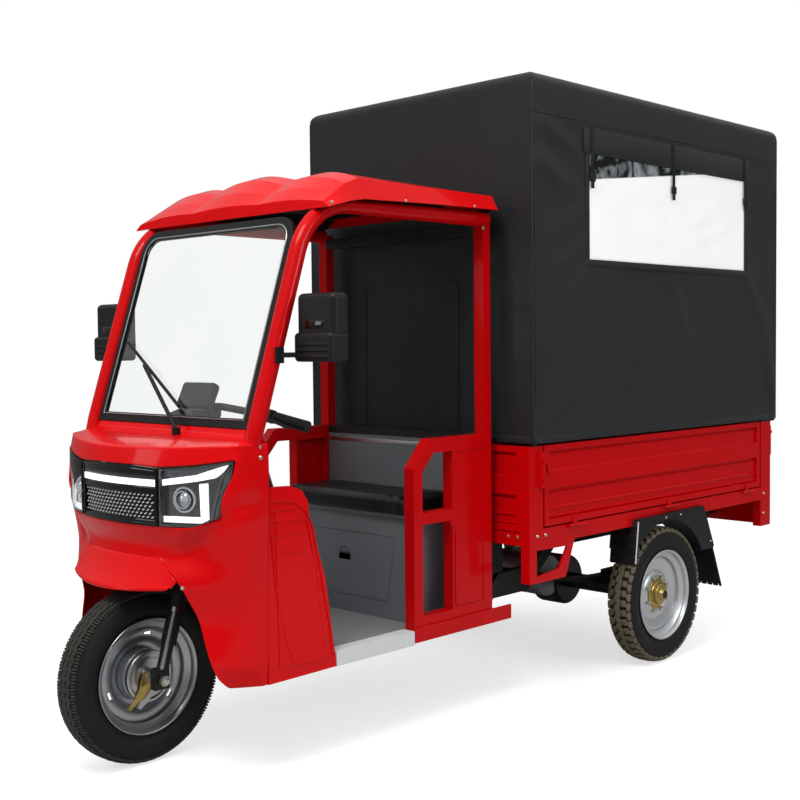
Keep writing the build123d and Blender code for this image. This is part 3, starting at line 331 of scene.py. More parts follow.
# %% Glass, lenses and lit diffusers
glass, tree, shader, where = start_material(
    "laminated windscreen glass", Roughness=0.0, IOR=1.45, Transmission_Weight=1.0)
tint(tree, shader, where, 400, "#F2F7F5", "#FBFDFC")
lens, tree, shader, where = start_material(
    "clear polycarbonate lens", Roughness=0.0, IOR=1.3, Transmission_Weight=1.0)
tint(tree, shader, where, 90, "#F4F6F8", "#FFFFFF")
led_white, tree, shader, where = start_material(
    "white lamp diffuser, lit", Roughness=0.35, Emission_Strength=0.85)
tint(tree, shader, where, 60, "#F4F8FA", "#FFFFFF")
tint(tree, shader, where, 60, "#F2F8FF", "#FFFFFF", ["Emission Color"])

# %% [markdown]
# ## Window film
# The film hazes with age. Its bright tone is painted daylight seen through it, and a darker mottled
# band above a slanting line is a painted reflection of the trees around it. A faint even glow is
# painted light too, standing in for daylight from the far window shining through the haze.

# %% The hazed film, its painted daylight and its painted tree reflection
FILM_LINE_X = -183.0  # where the slanting line meets the window's front edge
FILM_LINE_Z = 1728.0
FILM_SLOPE = -0.115
LINE_BLUR = (-0.002, 0.004)  # metres below and above the line
LEAF_MM = 90
# The bright base tone and the emission are painted daylight seen through the film; the emission is
# a painted glow, not a lamp.
film, tree, shader, where = start_material(
    "hazed PVC window film, painted daylight and reflection", IOR=1.2, Transmission_Weight=0.06, Specular_IOR_Level=0.5,
    Emission_Strength=0.2)
axis = node(tree, "SeparateXYZ", {"Vector": where}).outputs
past_edge = worked(tree, "SUBTRACT", axis["X"], FILM_LINE_X * MM)
line_height = worked(tree, "MULTIPLY_ADD", past_edge, FILM_SLOPE, FILM_LINE_Z * MM)
# Above the slanting line the film carries a painted reflection of the trees around it: dark mottled
# patches of leaves over paler gaps.
reflection_band = ramp(tree, worked(tree, "SUBTRACT", axis["Z"], line_height), *LINE_BLUR)
reflected_leaves = cloud(tree, where, LEAF_MM, 5.0, Distortion=1.6)
painted_tree_reflection = mixed(tree, ramp(tree, reflected_leaves, 0.46, 0.66, kind="LINEAR"), linear("#15181A"),
              linear("#8B9394"))
# Below the line the film's tone is near white: the aged film's haze together with painted daylight
# seen through it.
haze_and_painted_daylight = mixed(tree, cloud(tree, where, 240, 3.0), linear("#F4F5F4"), WHITE)
film_tone = mixed(tree, reflection_band, haze_and_painted_daylight, painted_tree_reflection)
for socket in ("Base Color", "Emission Color"):
    tree.links.new(film_tone, shader.inputs[socket])
gloss(tree, shader, where, 90, 0.12, 0.24)

# %% Coated tarpaulin
RADIAN_MM = 1.6  # the width of one radian of the weave's wave
WAVE_TURN = 20  # how many radians a Wave texture of scale 1 turns in one metre
tarp, tree, shader, where = start_material(
    "PVC coated tarpaulin", Sheen_Weight=0.05, Sheen_Roughness=0.5, Specular_IOR_Level=0.28)
tint(tree, shader, where, 420, "#181B1D", "#1F2224")
gloss(tree, shader, where, 70, 0.42, 0.56)
warp, weft = [
    node(tree, "TexWave", {"Vector": where, "Scale": 1.0 / (RADIAN_MM * MM) / WAVE_TURN,
                           "Distortion": 0.4}, bands_direction=axis_name).outputs["Fac"]
    for axis_name in ("X", "Z")]
wrinkle = grain(tree, cloud(tree, where, 150, 3.0), 2.4, strength=0.5)
weave = grain(tree, worked(tree, "MULTIPLY", warp, weft), 0.08, wrinkle, 0.5)
tree.links.new(weave, shader.inputs["Normal"])
print("film and tarpaulin ready")

# %% [markdown]
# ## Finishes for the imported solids
# A node whose shape is right keeps its mesh and only gets its material.

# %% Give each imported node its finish
FINISH = {
    red_paint: "bed_floor bed_frame cab_pillars cab_sides front_board latches side_board_left "
               "side_board_right tailgate",
    red_abs: "cab_roof front_cowl front_mudguard leg_panels",
    frame_black: "brake_pedal cab_cross_tubes canopy_frame chassis_frame fork handlebar "
                 "leaf_springs rear_axle",
    black_abs: "battery_pack controller_box instrument_pod mirrors rear_fenders wiper",
    gloss_black: "grille_panel headlamps",
    grey_pp: "front_bulkhead seat_back_panel seat_base",
    mat_grey: "floor_pan",
    sill_white: "door_sills",
    wheel_silver: "front_rim rear_rim_left rear_rim_right",
    bright_metal: "front_axle",
    cast_metal: "drive_motor",
    rubber: "grips windshield_gasket",
    tyre_rubber: "front_tyre rear_tyre_left rear_tyre_right",
    vinyl: "seat_cushion",
    glass: "windshield_glass",
    film: "canopy_windows",
    tarp: "canopy_ends canopy_roof canopy_sides",
    red_lens: "tail_lamps",
}
for finish, names in FINISH.items():
    for name in names.split():
        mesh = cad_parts[name].data
        mesh.materials.clear()
        mesh.materials.append(finish)
dressed = sum(len(names.split()) for names in FINISH.values())
print("finishes on", dressed, "of", len(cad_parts), "nodes")

# %% [markdown]
# ## Shapes used again and again
# Every new piece starts as an empty bmesh. A few small functions add a box, a
# tube, a spun profile or a pushed-out plate to it, and one more turns it into a
# named piece that rides on one of the vehicle's bodies.

# %% Boxes, rounded edges and copies


def everything(bm):
    """All of a bmesh's vertices, edges and faces."""
    return bm.verts[:] + bm.edges[:] + bm.faces[:]


def outward(bm):
    """Turn the faces' normals outward."""
    bmesh.ops.recalc_face_normals(bm, faces=bm.faces)
    return bm


def box(bm, low, high):
    """A box between two corners; gives its vertices."""
    low, high = Vector(low), Vector(high)
    verts = bmesh.ops.create_cube(bm, size=1.0)["verts"]
    bmesh.ops.scale(bm, vec=high - low, verts=verts)
    bmesh.ops.translate(bm, vec=(low + high) / 2, verts=verts)
    return verts


def rounded(bm, edges, radius, segments=2):
    """Round these edges."""
    bmesh.ops.bevel(bm, geom=edges, offset=radius, segments=segments, profile=0.5,
                    affect="EDGES", material=-1)


def band(bm, low, high, bevel_mm=1.0):
    """A flat strip between two corners in mm, edges rounded."""
    verts = box(bm, mm(*low), mm(*high))
    rounded(bm, list({e for v in verts for e in v.link_edges}), bevel_mm * MM)


def sided(side, near, far):
    """Two distances from the middle as a low and a high Y on one side."""
    return sorted((side * near, side * far))


def join(bm, other):
    """Move everything of one bmesh into another."""
    carrier = bpy.data.meshes.new("carrier")
    other.to_mesh(carrier)
    other.free()
    bm.from_mesh(carrier)
    bpy.data.meshes.remove(carrier)


def pushed(bm, faces, push):
    """Push flat faces into a solid."""
    grown = bmesh.ops.extrude_face_region(bm, geom=faces)["geom"]
    fresh = [v for v in grown if isinstance(v, bmesh.types.BMVert)]
    bmesh.ops.translate(bm, verts=fresh, vec=push)
    return outward(bm)


def spun(bm, points, steps_round, closed=True):
    """Spin a profile of points once about the Y axis through the origin."""
    verts = [bm.verts.new(co) for co in points]
    edges = [bm.edges.new(pair) for pair in zip(verts, verts[1:])]
    if closed:
        edges.append(bm.edges.new((verts[-1], verts[0])))
    bmesh.ops.spin(bm, geom=verts + edges, cent=(0, 0, 0), axis=(0, 1, 0), dvec=(0, 0, 0),
                   angle=2 * math.pi, steps=steps_round, use_merge=True, use_duplicate=False)
    bmesh.ops.remove_doubles(bm, verts=bm.verts, dist=1e-6)
    return outward(bm)


# %% A round tube through given points


def tube(bm, points, radius_mm, sides=8, closed=False):
    """Rings across the line at each point, bridged one to the next."""
    points = [Vector(p) for p in points]
    count = len(points)
    rings = []
    for i, point in enumerate(points):
        before = points[(i - 1) % count] if closed or i else point
        after = points[(i + 1) % count] if closed or i < count - 1 else point
        facing = (after - before).normalized().to_track_quat("Z", "Y").to_matrix().to_4x4()
        made = bmesh.ops.create_circle(bm, segments=sides, radius=radius_mm * MM,
                                       matrix=Matrix.Translation(point) @ facing)
        rings.append(list({e for v in made["verts"] for e in v.link_edges}))
    pairs = list(zip(rings, rings[1:] + rings[:1])) if closed else list(zip(rings, rings[1:]))
    for first, second in pairs:
        bmesh.ops.bridge_loops(bm, edges=first + second)
    if not closed:
        for ring in (rings[0], rings[-1]):
            bmesh.ops.edgeloop_fill(bm, edges=ring)
    return bm


# %% Cuts, even steps and the finished piece


def cut_planes(bm, axis, places):
    """Cut every face along planes across one axis."""
    normal = Vector((0, 0, 0))
    normal[axis] = 1.0
    for place in places:
        bmesh.ops.bisect_plane(bm, geom=everything(bm), dist=1e-6, plane_co=normal * place,
                               plane_no=normal)


def steps(low, high, pitch, extra=()):
    """Evenly spaced places between two ends, kept clear of the extra places."""
    count = max(1, round((high - low) / pitch))
    even = [low + (high - low) * i / count for i in range(1, count)]
    return [p for p in even if all(abs(p - e) > pitch / 3 for e in extra)] + list(extra)


def put(name, bm, body, finish, sharp_degrees=40.0):
    """Turn a bmesh into a piece: smooth shaded, on a body, with a finish."""
    for face in bm.faces:
        face.smooth = True
    for edge in bm.edges:
        edge.smooth = edge.calc_face_angle(0.0) < math.radians(sharp_degrees)
    mesh = bpy.data.meshes.new(name)
    bm.to_mesh(mesh)
    bm.free()
    piece = placed(name, mesh)
    mesh.materials.append(finish)
    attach(piece, body)
    return piece


def walled(piece, title, thick_mm):
    """Give a skin its wall, towards the inside."""
    wall = piece.modifiers.new(title, "SOLIDIFY")
    wall.thickness = thick_mm * MM
    wall.offset = -1.0


def smoothed(piece, levels):
    """Finish a skin with a subdivision surface."""
    smooth = piece.modifiers.new("smooth", "SUBSURF")
    smooth.levels = smooth.render_levels = levels


# %% [markdown]
# ## The tarpaulin canopy
# The real cover is sewn from coated cloth: a roof panel whose skirt hangs over
# the walls, four walls, clear windows with a rolled flap, and piping along the
# seams. It is pulled over steel bows, so it is tight there and sags a little
# between them. One closed box of cloth is opened at the bottom, cut into a fine
# grid, and each point is moved in or out by soft folds.

# %% The box of cloth, opened and cut into a grid
roof_low, roof_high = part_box("canopy_roof")
HEM_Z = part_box("canopy_sides")[0].z
pane_low, pane_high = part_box("canopy_windows")
pane_size = pane_high - pane_low
SEAM_Z = roof_low.z
GRID = 26 * MM
TOP_EDGE_R = 34 * MM

bm = bmesh.new()
cloth_low = Vector((roof_low.x, roof_low.y, HEM_Z))
cloth_size = roof_high - cloth_low
box(bm, cloth_low, roof_high)
top_edges = [e for e in bm.edges if all(abs(v.co.z - roof_high.z) < 1e-5 for v in e.verts)]
rounded(bm, top_edges, TOP_EDGE_R, 5)
under = [f for f in bm.faces if f.normal.z < -0.9]
bmesh.ops.delete(bm, geom=under, context="FACES")
cut_planes(bm, 0, steps(cloth_low.x, roof_high.x, GRID, (pane_low.x, pane_high.x)))
cut_planes(bm, 1, steps(cloth_low.y, roof_high.y, GRID))
cut_planes(bm, 2, steps(cloth_low.z, roof_high.z - TOP_EDGE_R, GRID,
                        (pane_low.z, pane_high.z, SEAM_Z)))
openings = [f for f in bm.faces
            if pane_low.x < f.calc_center_median().x < pane_high.x
            and pane_low.z < f.calc_center_median().z < pane_high.z
            and abs(f.normal.y) > 0.9]
bmesh.ops.delete(bm, geom=openings, context="FACES")
print("canopy cloth:", len(bm.faces), "faces,", len(openings), "cut for the windows")

# %% [markdown]
# ## Folds in the cloth
# Folds are sums of a few plain shapes, as a tailor sees them. Between the front
# corner and the window the cloth is pulled into slanting ridges, the roof sags
# between its bows, and the hem stands out a little where it covers the boards.

# %% The shape of one fold
BOW_PLACES = [v * MM for v in (-1497, -1450, -970, -420, 50, 100)]
WALL_FREE = 0.885  # a side wall moves freely from here up to the seam, in metres
END_FREE = (0.87, 2.02)  # and an end wall between these heights
SIDE_FOLDS = [  # start and end as X, Z in mm, width and height in mm; they fan from the corner
    ((110, 1900), (-170, 1800), 22, 10.0), ((105, 1780), (-175, 1655), 25, 9.0),
    ((-180, 1640), (60, 1500), 24, 8.0), ((-180, 1560), (70, 1330), 28, 9.0),
    ((-180, 1470), (40, 1120), 32, 8.0), ((-1515, 880), (-1400, 1330), 30, 9.0),
    ((-1515, 1900), (-1330, 1700), 30, 7.0), ((115, 900), (-260, 1060), 32, 8.0),
    ((-1255, 1455), (-1480, 1180), 28, 6.5), ((-700, 1440), (-900, 1010), 30, 5.0)]


def arch(value, low, high):
    """0 at two ends, 1 midway between them."""
    return math.sin(math.pi * min(max((value - low) / (high - low), 0), 1))


def span_sag(value, places):
    """0 at each support and 1 midway between two of them."""
    for low, high in zip(places, places[1:]):
        if low < value < high:
            return math.sin(math.pi * (value - low) / (high - low)) ** 2
    return 0.0


def ridge_line(x, z, start, end, width):
    """1 on a straight fold line and 0 away from it, thinning towards its end."""
    along = (end - start)
    t = ((x - start.x) * along.x + (z - start.y) * along.y) / along.length_squared
    if not -0.05 < t < 1.0:
        return 0.0
    off = abs((x - start.x) * along.y - (z - start.y) * along.x) / along.length
    return math.exp(-(off / width) ** 2) * math.cos(max(t, 0.0) * math.pi / 2)


def drift(x, y, z, height_mm):
    """Slow random waves of the cloth, in metres."""
    return noise.noise(Vector((x, y, z))) * height_mm * MM


def wall_fold(x, z):
    """How far a side wall's cloth stands out, in metres."""
    out = sum(high * ridge_line(x, z, mm(*a), mm(*b), width * MM)
              for a, b, width, high in SIDE_FOLDS) * MM
    inside = arch(x, cloth_low.x, cloth_low.x + cloth_size.x) ** 0.5
    tall = arch(z, WALL_FREE, SEAM_Z) ** 0.5
    return out + (drift(x * 2.6, 0.3, z * 3.6, 8.0) - 2.5 * MM) * inside * tall


def end_fold(y, z, seed):
    """How far an end wall's cloth stands out, in metres."""
    wide = math.cos(min(abs(y) / (cloth_size.y / 2), 1) * math.pi / 2) ** 0.5
    return drift(y * 2.4, seed, z * 2.0, 5.0) * wide * arch(z, *END_FREE) ** 0.5


# %% Move the cloth in and out
NEAR = 2 * MM  # a point this close to a wall's plane belongs to the wall
SAG = 9.0 * MM  # how far the roof sags between two bows
SKIRT_OUT = 2.2 * MM  # how far the roof's skirt stands out over the walls
HEM_OUT = 1.5 * MM
HEM_TALL = 26 * MM
PANE_CALM = 60 * MM  # the cloth lies flat this near to a window
half_y = cloth_size.y / 2
for vert in bm.verts:
    x, y, z = vert.co
    if z > roof_high.z - NEAR:
        across = math.sin(math.pi * min(abs(y) / (half_y - TOP_EDGE_R), 1)) ** 2
        vert.co.z -= SAG * span_sag(x, BOW_PLACES) * across
        vert.co.z += drift(x * 3, y * 3, 0, 2.0) * across
        continue
    on_side = abs(y) > half_y - NEAR
    on_end = x > roof_high.x - NEAR or x < cloth_low.x + NEAR
    sign = 1 if y > 0 else -1
    if on_side and not on_end:
        near_pane = max(pane_low.x - x, x - pane_high.x, pane_low.z - z, z - pane_high.z, 0.0)
        calm = min(near_pane / PANE_CALM, 1.0)
        if z < SEAM_Z:
            vert.co.y += sign * wall_fold(x, z) * calm
        else:
            vert.co.y += sign * (SKIRT_OUT + drift(x * 4, 9.0, z * 5, 1.5))
    elif on_end and not on_side:
        forward = 1 if x > 0 else -1
        vert.co.x += forward * end_fold(y, z, 3.0 + forward)
    if z < HEM_Z + HEM_TALL and on_side:
        vert.co.y += sign * HEM_OUT
canopy = put("canopy_cover", outward(bm), "root", tarp, 60.0)
walled(canopy, "cloth thickness", 2.0)
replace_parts(canopy, "canopy_roof", "canopy_sides", "canopy_ends")

# %% [markdown]
# ## Seams, piping and the hem
# Piping is a thin cord sewn into a seam. It is a small round tube along the
# seam's corners. The hem, the window's surround and the flap are flat bands.

# %% Piping along the corners and the side seams
PIPE_R = 2.6
bm = bmesh.new()
for sign in (1, -1):
    for end_x, inward in ((roof_high.x, -1), (cloth_low.x, 1)):
        upright = [(0.5, 0.5, z) for z in (862, 1200, 1500, 1800, 1918, 1960, 2000, 2010)]
        tube(bm, [(end_x + inward * inset_x * MM, sign * (half_y - inset_y * MM), z * MM)
                  for inset_x, inset_y, z in upright + [(6, 6, 2020), (14, 14, 2024)]], PIPE_R)
        if end_x > 0:
            tube(bm, [(end_x - 13 * MM, sign * (half_y + 0.5 * MM), z * MM)
                      for z in (862, 1200, 1500, 1800, 1912)], 1.8)
    tube(bm, [(cloth_low.x + cloth_size.x * i / 14, sign * (half_y + 1.5 * MM), SEAM_Z)
              for i in range(15)], 2.2)
put("canopy_piping", bm, "root", tarp)

# %% Flat bands: hem, window surround, flap and straps
FACE_Y = half_y / MM
front_x, rear_x = roof_high.x / MM, cloth_low.x / MM
left, right_end, bottom, top = [v / MM for v in (pane_low.x, pane_high.x, pane_low.z, pane_high.z)]
CLOTH_STRIPS = [  # X and Z of both ends, how proud, how thick, how rounded, in mm
    ((-1516, 119), (857, 880), 3.2, 2.0, 0.7),
    ((left - 18, left + 4), (bottom - 18, top + 10), 2.4, 2.0, 0.7),
    ((right_end - 4, right_end + 18), (bottom - 18, top + 10), 2.4, 2.0, 0.7),
    ((left - 18, right_end + 18), (bottom - 18, bottom + 4), 2.6, 2.0, 0.7),
    ((left - 26, right_end + 30), (top - 8, 1902), 4.4, 4.0, 1.6)]
STRAP_STRIPS = [strip for x in (-198, -711, -1244) for strip in (
    ((x - 9, x + 9), (1716, 1906), 8.0, 1.8, 0.7),
    ((x - 13, x + 13), (1722, 1750), 12.0, 9.0, 3.0),
    ((x - 8, x + 8), (1700, 1724), 10.0, 5.0, 2.0))]
END_BANDS = [  # low and high corner, how rounded: hems, the front flap, the rear flap's seams
    ((front_x, -520, 857), (front_x + 1.6, 520, 880), 0.6),
    ((rear_x - 1.6, -520, 857), (rear_x, 520, 880), 0.6),
    ((front_x, -242, 862), (front_x + 3.0, -234, 1392), 0.8),
    ((front_x, 204, 862), (front_x + 3.0, 212, 1392), 0.8),
    ((front_x, -242, 1384), (front_x + 3.0, 212, 1392), 0.8),
    ((rear_x - 2.4, -8, 860), (rear_x, 8, 1905), 0.8),
    ((rear_x - 2.4, -430, 860), (rear_x, -422, 1905), 0.8),
    ((rear_x - 2.4, 422, 860), (rear_x, 430, 1905), 0.8)]
bm = bmesh.new()
trim = bmesh.new()
for side in (1, -1):
    for target, strips in ((bm, CLOTH_STRIPS), (trim, STRAP_STRIPS)):
        for (x0, x1), (z0, z1), proud, thick, bevel in strips:
            ys = sided(side, FACE_Y + proud - thick, FACE_Y + proud)
            band(target, (x0, ys[0], z0), (x1, ys[1], z1), bevel)
for low, high, bevel in END_BANDS:
    band(bm, low, high, bevel)
put("canopy_bands", bm, "root", tarp)
put("canopy_straps", trim, "root", rubber)
print("bands and straps:", 2 * len(CLOTH_STRIPS + STRAP_STRIPS) + len(END_BANDS))

# %% [markdown]
# ## Clear windows
# The film is soft PVC, sewn in along its edge, so it is never quite flat. A
# grid inside the opening gets slanting creases that run up from the lower
# rear corner, and fine ripples near its seams.

# %% The film with its creases
SEWN_IN = 6 * MM
CREASE_MM = 2.2
bm = bmesh.new()
for sign in (1, -1):
    verts = bmesh.ops.create_grid(bm, x_segments=72, y_segments=26, size=0.5)["verts"]
    bmesh.ops.transform(bm, matrix=Matrix.Rotation(math.pi / 2, 4, "X"), verts=verts)
    bmesh.ops.scale(bm, vec=(pane_size.x + SEWN_IN, 1, pane_size.z + SEWN_IN), verts=verts)
    for vert in verts:
        u = vert.co.x / pane_size.x + 0.5
        w = vert.co.z / pane_size.z + 0.5
        wander = 2.0 * noise.noise(Vector((u * 5, w * 3, sign)))
        slant = math.sin((u * 1.2 + w * 1.0) * 21.0 + wander)
        corner = max(0.0, 1.0 - 1.6 * math.hypot(u - 0.03, w - 0.15))
        ripple = noise.noise(Vector((u * 9, w * 5, 4.0)))
        edge = arch(u, 0, 1) * arch(w, 0, 1)
        vert.co.y = CREASE_MM * (ripple + slant * corner) * MM * edge ** 0.5
    middle = (pane_low + pane_high) / 2
    bmesh.ops.translate(bm, verts=verts, vec=(middle.x, sign * (half_y - 1.5 * MM), middle.z))
windows = put("window_film", bm, "root", film, 180)
walled(windows, "film thickness", 0.6)
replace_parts(windows, "canopy_windows")

# %% [markdown]
# ## Tyres
# A tyre is a carcass of one profile spun about the axle, with its tread on
# top. The tread repeats, so one pitch of it is modelled at the top of the wheel
# and spun round as copies. The front tyre has zigzag ribs with finely cut
# shoulders, and the rear ones have chunky shoulder blocks for grip.

# %% Carcass and tread blocks
WHEEL_R = 250.0
TREAD_DEEP = 12.0
TREAD_EDGE = 1.3
CARCASS_STEPS = 120
CARCASS = [  # radius and half width in mm, from the crown to the bead
    (242.0, 0), (241.6, 14), (240.6, 24), (237.5, 34), (231.0, 42), (221.0, 46.6), (209.0, 48.6),
    (203.5, 48.9), (202.5, 47.9), (200.5, 47.9), (199.5, 48.8), (190.0, 47.6), (180.0, 44.6),
    (175.0, 42.4), (173.6, 40.6), (171.0, 40.4), (168.0, 38.6), (162.0, 37.6), (160.6, 34.0)]


def middle_of(name):
    """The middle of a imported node's box."""
    low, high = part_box(name)
    return (low + high) / 2


def tread_block(bm, row, start, length, slant):
    """One rubber block at the top of the wheel; row gives its place across the tread."""
    across, half, top, tilt = row
    block = bmesh.new()
    corner = mm(length / 2, half, TREAD_DEEP / 2)
    box(block, -corner, corner)
    for vert in block.verts:
        vert.co.y += slant * vert.co.x / length
    rounded(block, [e for e in block.edges if any(v.co.z > 0 for v in e.verts)],
            TREAD_EDGE * MM, 1)
    lean = Matrix.Rotation(math.radians(-tilt), 4, "X")
    place = Matrix.Translation(mm(start + length / 2, across, top - TREAD_DEEP / 2))
    bmesh.ops.transform(block, matrix=place @ lean, verts=block.verts)
    join(bm, block)


def front_pitch(bm, pitch):
    """Three zigzag ribs and two finely cut shoulders."""
    for row in ((0, 8.5, 249.3, 0), (19.5, 7.5, 248.6, 8), (-19.5, 7.5, 248.6, -8)):
        for half_step, slant in ((0, 6.0), (0.5, -6.0)):
            tread_block(bm, row, pitch * (half_step - 0.5), pitch / 2 + 0.6, slant)
    for sign in (1, -1):
        for part, half in enumerate((8.0, 6.5, 6.5)):
            row = (sign * 35.5, half, 244.2, sign * 33)
            tread_block(bm, row, pitch * (part / 3 - 0.5), pitch / 3 - 3.0, 0)


def rear_pitch(bm, pitch):
    """A broad zigzag middle, and rounded lugs that reach down the shoulders."""
    for half_step, slant in ((0, 9.0), (0.5, -9.0)):
        tread_block(bm, (0, 11, 249.3, 0), pitch * (half_step - 0.5), pitch / 2 + 0.4, slant)
    for sign in (1, -1):
        tread_block(bm, (sign * 25, 8.5, 247.8, sign * 12), -pitch * 0.36, pitch * 0.62, sign * 4)
        tread_block(bm, (sign * 39, 7.5, 241.6, sign * 44), -pitch * 0.1, pitch * 0.62, 0)
        tread_block(bm, (sign * 39, 4.5, 241.0, sign * 44), -pitch * 0.5, pitch * 0.26, 0)


def treaded(name, packed, body, pitches, one_pitch, tread_finish):
    """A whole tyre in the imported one's place, with its tread's own finish."""
    bm = bmesh.new()
    one_pitch(bm, 2 * math.pi * WHEEL_R / pitches)
    bmesh.ops.spin(bm, geom=everything(bm), cent=(0, 0, 0), axis=(0, 1, 0), dvec=(0, 0, 0),
                   angle=2 * math.pi * (pitches - 1) / pitches, steps=pitches - 1,
                   use_duplicate=True)
    for face in bm.faces:
        face.material_index = 1
    carcass = bmesh.new()
    spun(carcass, [mm(0, w, r) for r, w in CARCASS]
         + [mm(0, -w, r) for r, w in CARCASS[:0:-1]], CARCASS_STEPS)
    join(bm, carcass)
    bmesh.ops.translate(bm, vec=middle_of(packed), verts=bm.verts)
    tyre = put(name, bm, body, tyre_rubber, 30)
    tyre.data.materials.append(tread_finish)
    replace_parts(tyre, packed)
    return tyre


# %% The three tyres
FRONT_PITCHES, REAR_PITCHES = 56, 44  # how often the tread repeats round the wheel
treaded("front_tyre_treaded", "front_tyre", "front_wheel", FRONT_PITCHES, front_pitch, worn_tread)
for side in ("left", "right"):
    tyre = treaded(f"rear_tyre_treaded_{side}", f"rear_tyre_{side}", f"rear_wheel_{side}",
                   REAR_PITCHES, rear_pitch, dusty_tread)
print("tyres:", len(tyre.data.polygons), "faces on the last one")

# %% [markdown]
# ## The moulded nose
# The nose is one ABS moulding. Seen from above its front is a single large arc,
# and its sides run straight back. So a point on it is given by how far it lies
# round that arc (0 at the middle, 1 at the corner, 2 at the rear edge) and by
# its height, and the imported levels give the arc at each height.

# %% A point on the nose
NOSE_FRONT = 1350.0
NOSE_R = 798.0
NOSE_CX = NOSE_FRONT - NOSE_R
REAR_X = 1128.5
NOSE_LEVELS = [  # height, X where the side starts, half width, X of the middle, in mm
    (262, 1150, 394, 1380), (317, 1180, 400, 1390), (443, 1192, 400, 1345), (555, 1205, 402, 1374),
    (606, 1208, 404, 1332), (645, 1214, 406, 1330), (690, 1232, 410, 1349), (720, 1240, 413, 1350),
    (865, 1236, 414, 1350), (960, 1222, 410, 1338)]
VALLEY = (Vector((236, 610)), Vector((408, 756)))  # the crease under the lamp, as Y and Z
SWELLS = [  # how far out, then where in Y and Z, then how wide and tall, in mm
    (15.0, 372, 624, 46, 52),  # the knee over the flank
    (-5.0, 352, 470, 26, 60)]  # the hollow under the knee


def read_table(table, value):
    """Read a table at any value of its first column; gives the other columns."""
    value = min(max(value, table[0][0]), table[-1][0])
    for low, high in zip(table, table[1:]):
        if value <= high[0]:
            return [a + (b - a) * (value - low[0]) / (high[0] - low[0])
                    for a, b in zip(low[1:], high[1:])]
    return list(table[-1][1:])


def between(table, value):
    """Read a table of two columns at any value."""
    return read_table(table, value)[0]


def arc_x(y, side_x, half, middle):
    """X on the circle through both corners and the middle of a level."""
    rise = middle - side_x
    radius = (half * half + rise * rise) / (2 * rise)
    return middle - radius + math.sqrt(radius * radius - y * y)


def share_of(y, z):
    """How far round the arc a width lies, 0 in the middle and 1 at the corner."""
    return y / read_table(NOSE_LEVELS, z)[1]


def mound(y, z, at_y, at_z, wide, tall):
    """1 at one place and 0 far from it."""
    return math.exp(-((y - at_y) / wide) ** 2 - ((z - at_z) / tall) ** 2)


def swell(y, z):
    """How far the moulding stands out from the plain arc, in mm."""
    along = VALLEY[1] - VALLEY[0]
    t = ((y - VALLEY[0].x) * along.x + (z - VALLEY[0].y) * along.y) / along.length_squared
    off = ((z - VALLEY[0].y) * along.x - (y - VALLEY[0].x) * along.y) / along.length
    reach = min(max((t + 0.1) * 4, 0), 1)
    groove = -15.0 * math.exp(-(off / 17) ** 2) * reach
    lip = 8.0 * math.exp(-((off - 34) / 22) ** 2) * reach
    return groove + lip + sum(out * mound(y, z, *place) for out, *place in SWELLS)


def nose_point(s, z):
    """The place on the moulding, in mm, that lies this far round at this height."""
    side_x, half, middle = read_table(NOSE_LEVELS, z)
    if s <= 1:
        y = half * s
        out = swell(y, z)
        return Vector((arc_x(y, side_x, half, middle) + out * (1 - 0.5 * s), y + out * 0.5 * s, z))
    x = side_x + (REAR_X - side_x) * (s - 1)
    return Vector((x, half + swell(half, z) * max(0.0, 2.2 - s * 1.2) * 0.6, z))


# %% [markdown]
# ## Patches of the nose
# The skin is made of patches with shared borders: the flank beside the wheel
# arch, the chin, the cheek beside the lamp, the brow over it and the hood. Each
# is a grid laid between two lines, and a subdivision surface smooths the whole,
# with creases where the real moulding has a sharp line.

# %% The lines between the patches, and a way to lay one
ARCH = [(262, 336), (317, 329), (400, 302), (480, 276), (552, 251), (585, 204), (606, 156)]
LAMP_SIDE = [(727, 371), (760, 375), (793, 380), (815, 392), (836, 403), (862, 409), (886, 411)]
LAMP_LOW = [(0, 696), (120, 696), (187, 696), (300, 698), (371, 727)]
LAMP_TOP = [(0, 861), (90, 861), (187, 857), (300, 867), (402, 881), (411, 886)]
BROW = [(0, 907), (120, 908), (230, 911), (320, 915), (390, 918), (411, 919)]
FOOT_RISE = 26.0  # how far the lower front corner is rounded off
ARCH_TOP = ARCH[-1][0]
HOOD_BACK = (1169, 372, 937)
SCUTTLE = (1160.5, 957.0)
SCUTTLE_HALF = 366
FRONT_COLUMNS = 8
SIDE_COLUMNS = 6
BROW_COLUMNS = 14
LAMP_SHARE = share_of(371, 727)
TOP_SHARE = share_of(411, 886)
ARCH_SHARE = share_of(between(ARCH, ARCH_TOP), ARCH_TOP)


def patch(bm, columns, rows, place):
    """A grid whose vertices are set by a function of its two shares, both 0 to 1."""
    for vert in bmesh.ops.create_grid(bm, x_segments=columns, y_segments=rows, size=0.5)["verts"]:
        vert.co = place(vert.co.x + 0.5, vert.co.y + 0.5) * MM


def two_part(start, middle, u, columns):
    """A share that reaches the middle after some columns and the rear edge at the end."""
    part = columns / (columns + SIDE_COLUMNS)
    if u <= part:
        return start + (middle - start) * u / part
    return middle + (2.0 - middle) * (u - part) / (1 - part)


# %% The patches


def flank(u, v):
    """Beside the wheel arch, from its edge to the rear."""
    foot = ARCH[0][0] + FOOT_RISE * max(0.0, 1.0 - u / 0.34) ** 2
    z = foot + (ARCH_TOP - foot) * v
    return nose_point(two_part(share_of(between(ARCH, z), z), LAMP_SHARE, u, FRONT_COLUMNS), z)


def chin(s, v):
    """From the arch's top up to the lamps' lower line, this far round."""
    top = between(LAMP_LOW, s / LAMP_SHARE * LAMP_LOW[-1][0])
    return nose_point(s, ARCH_TOP + (top - ARCH_TOP) * v)


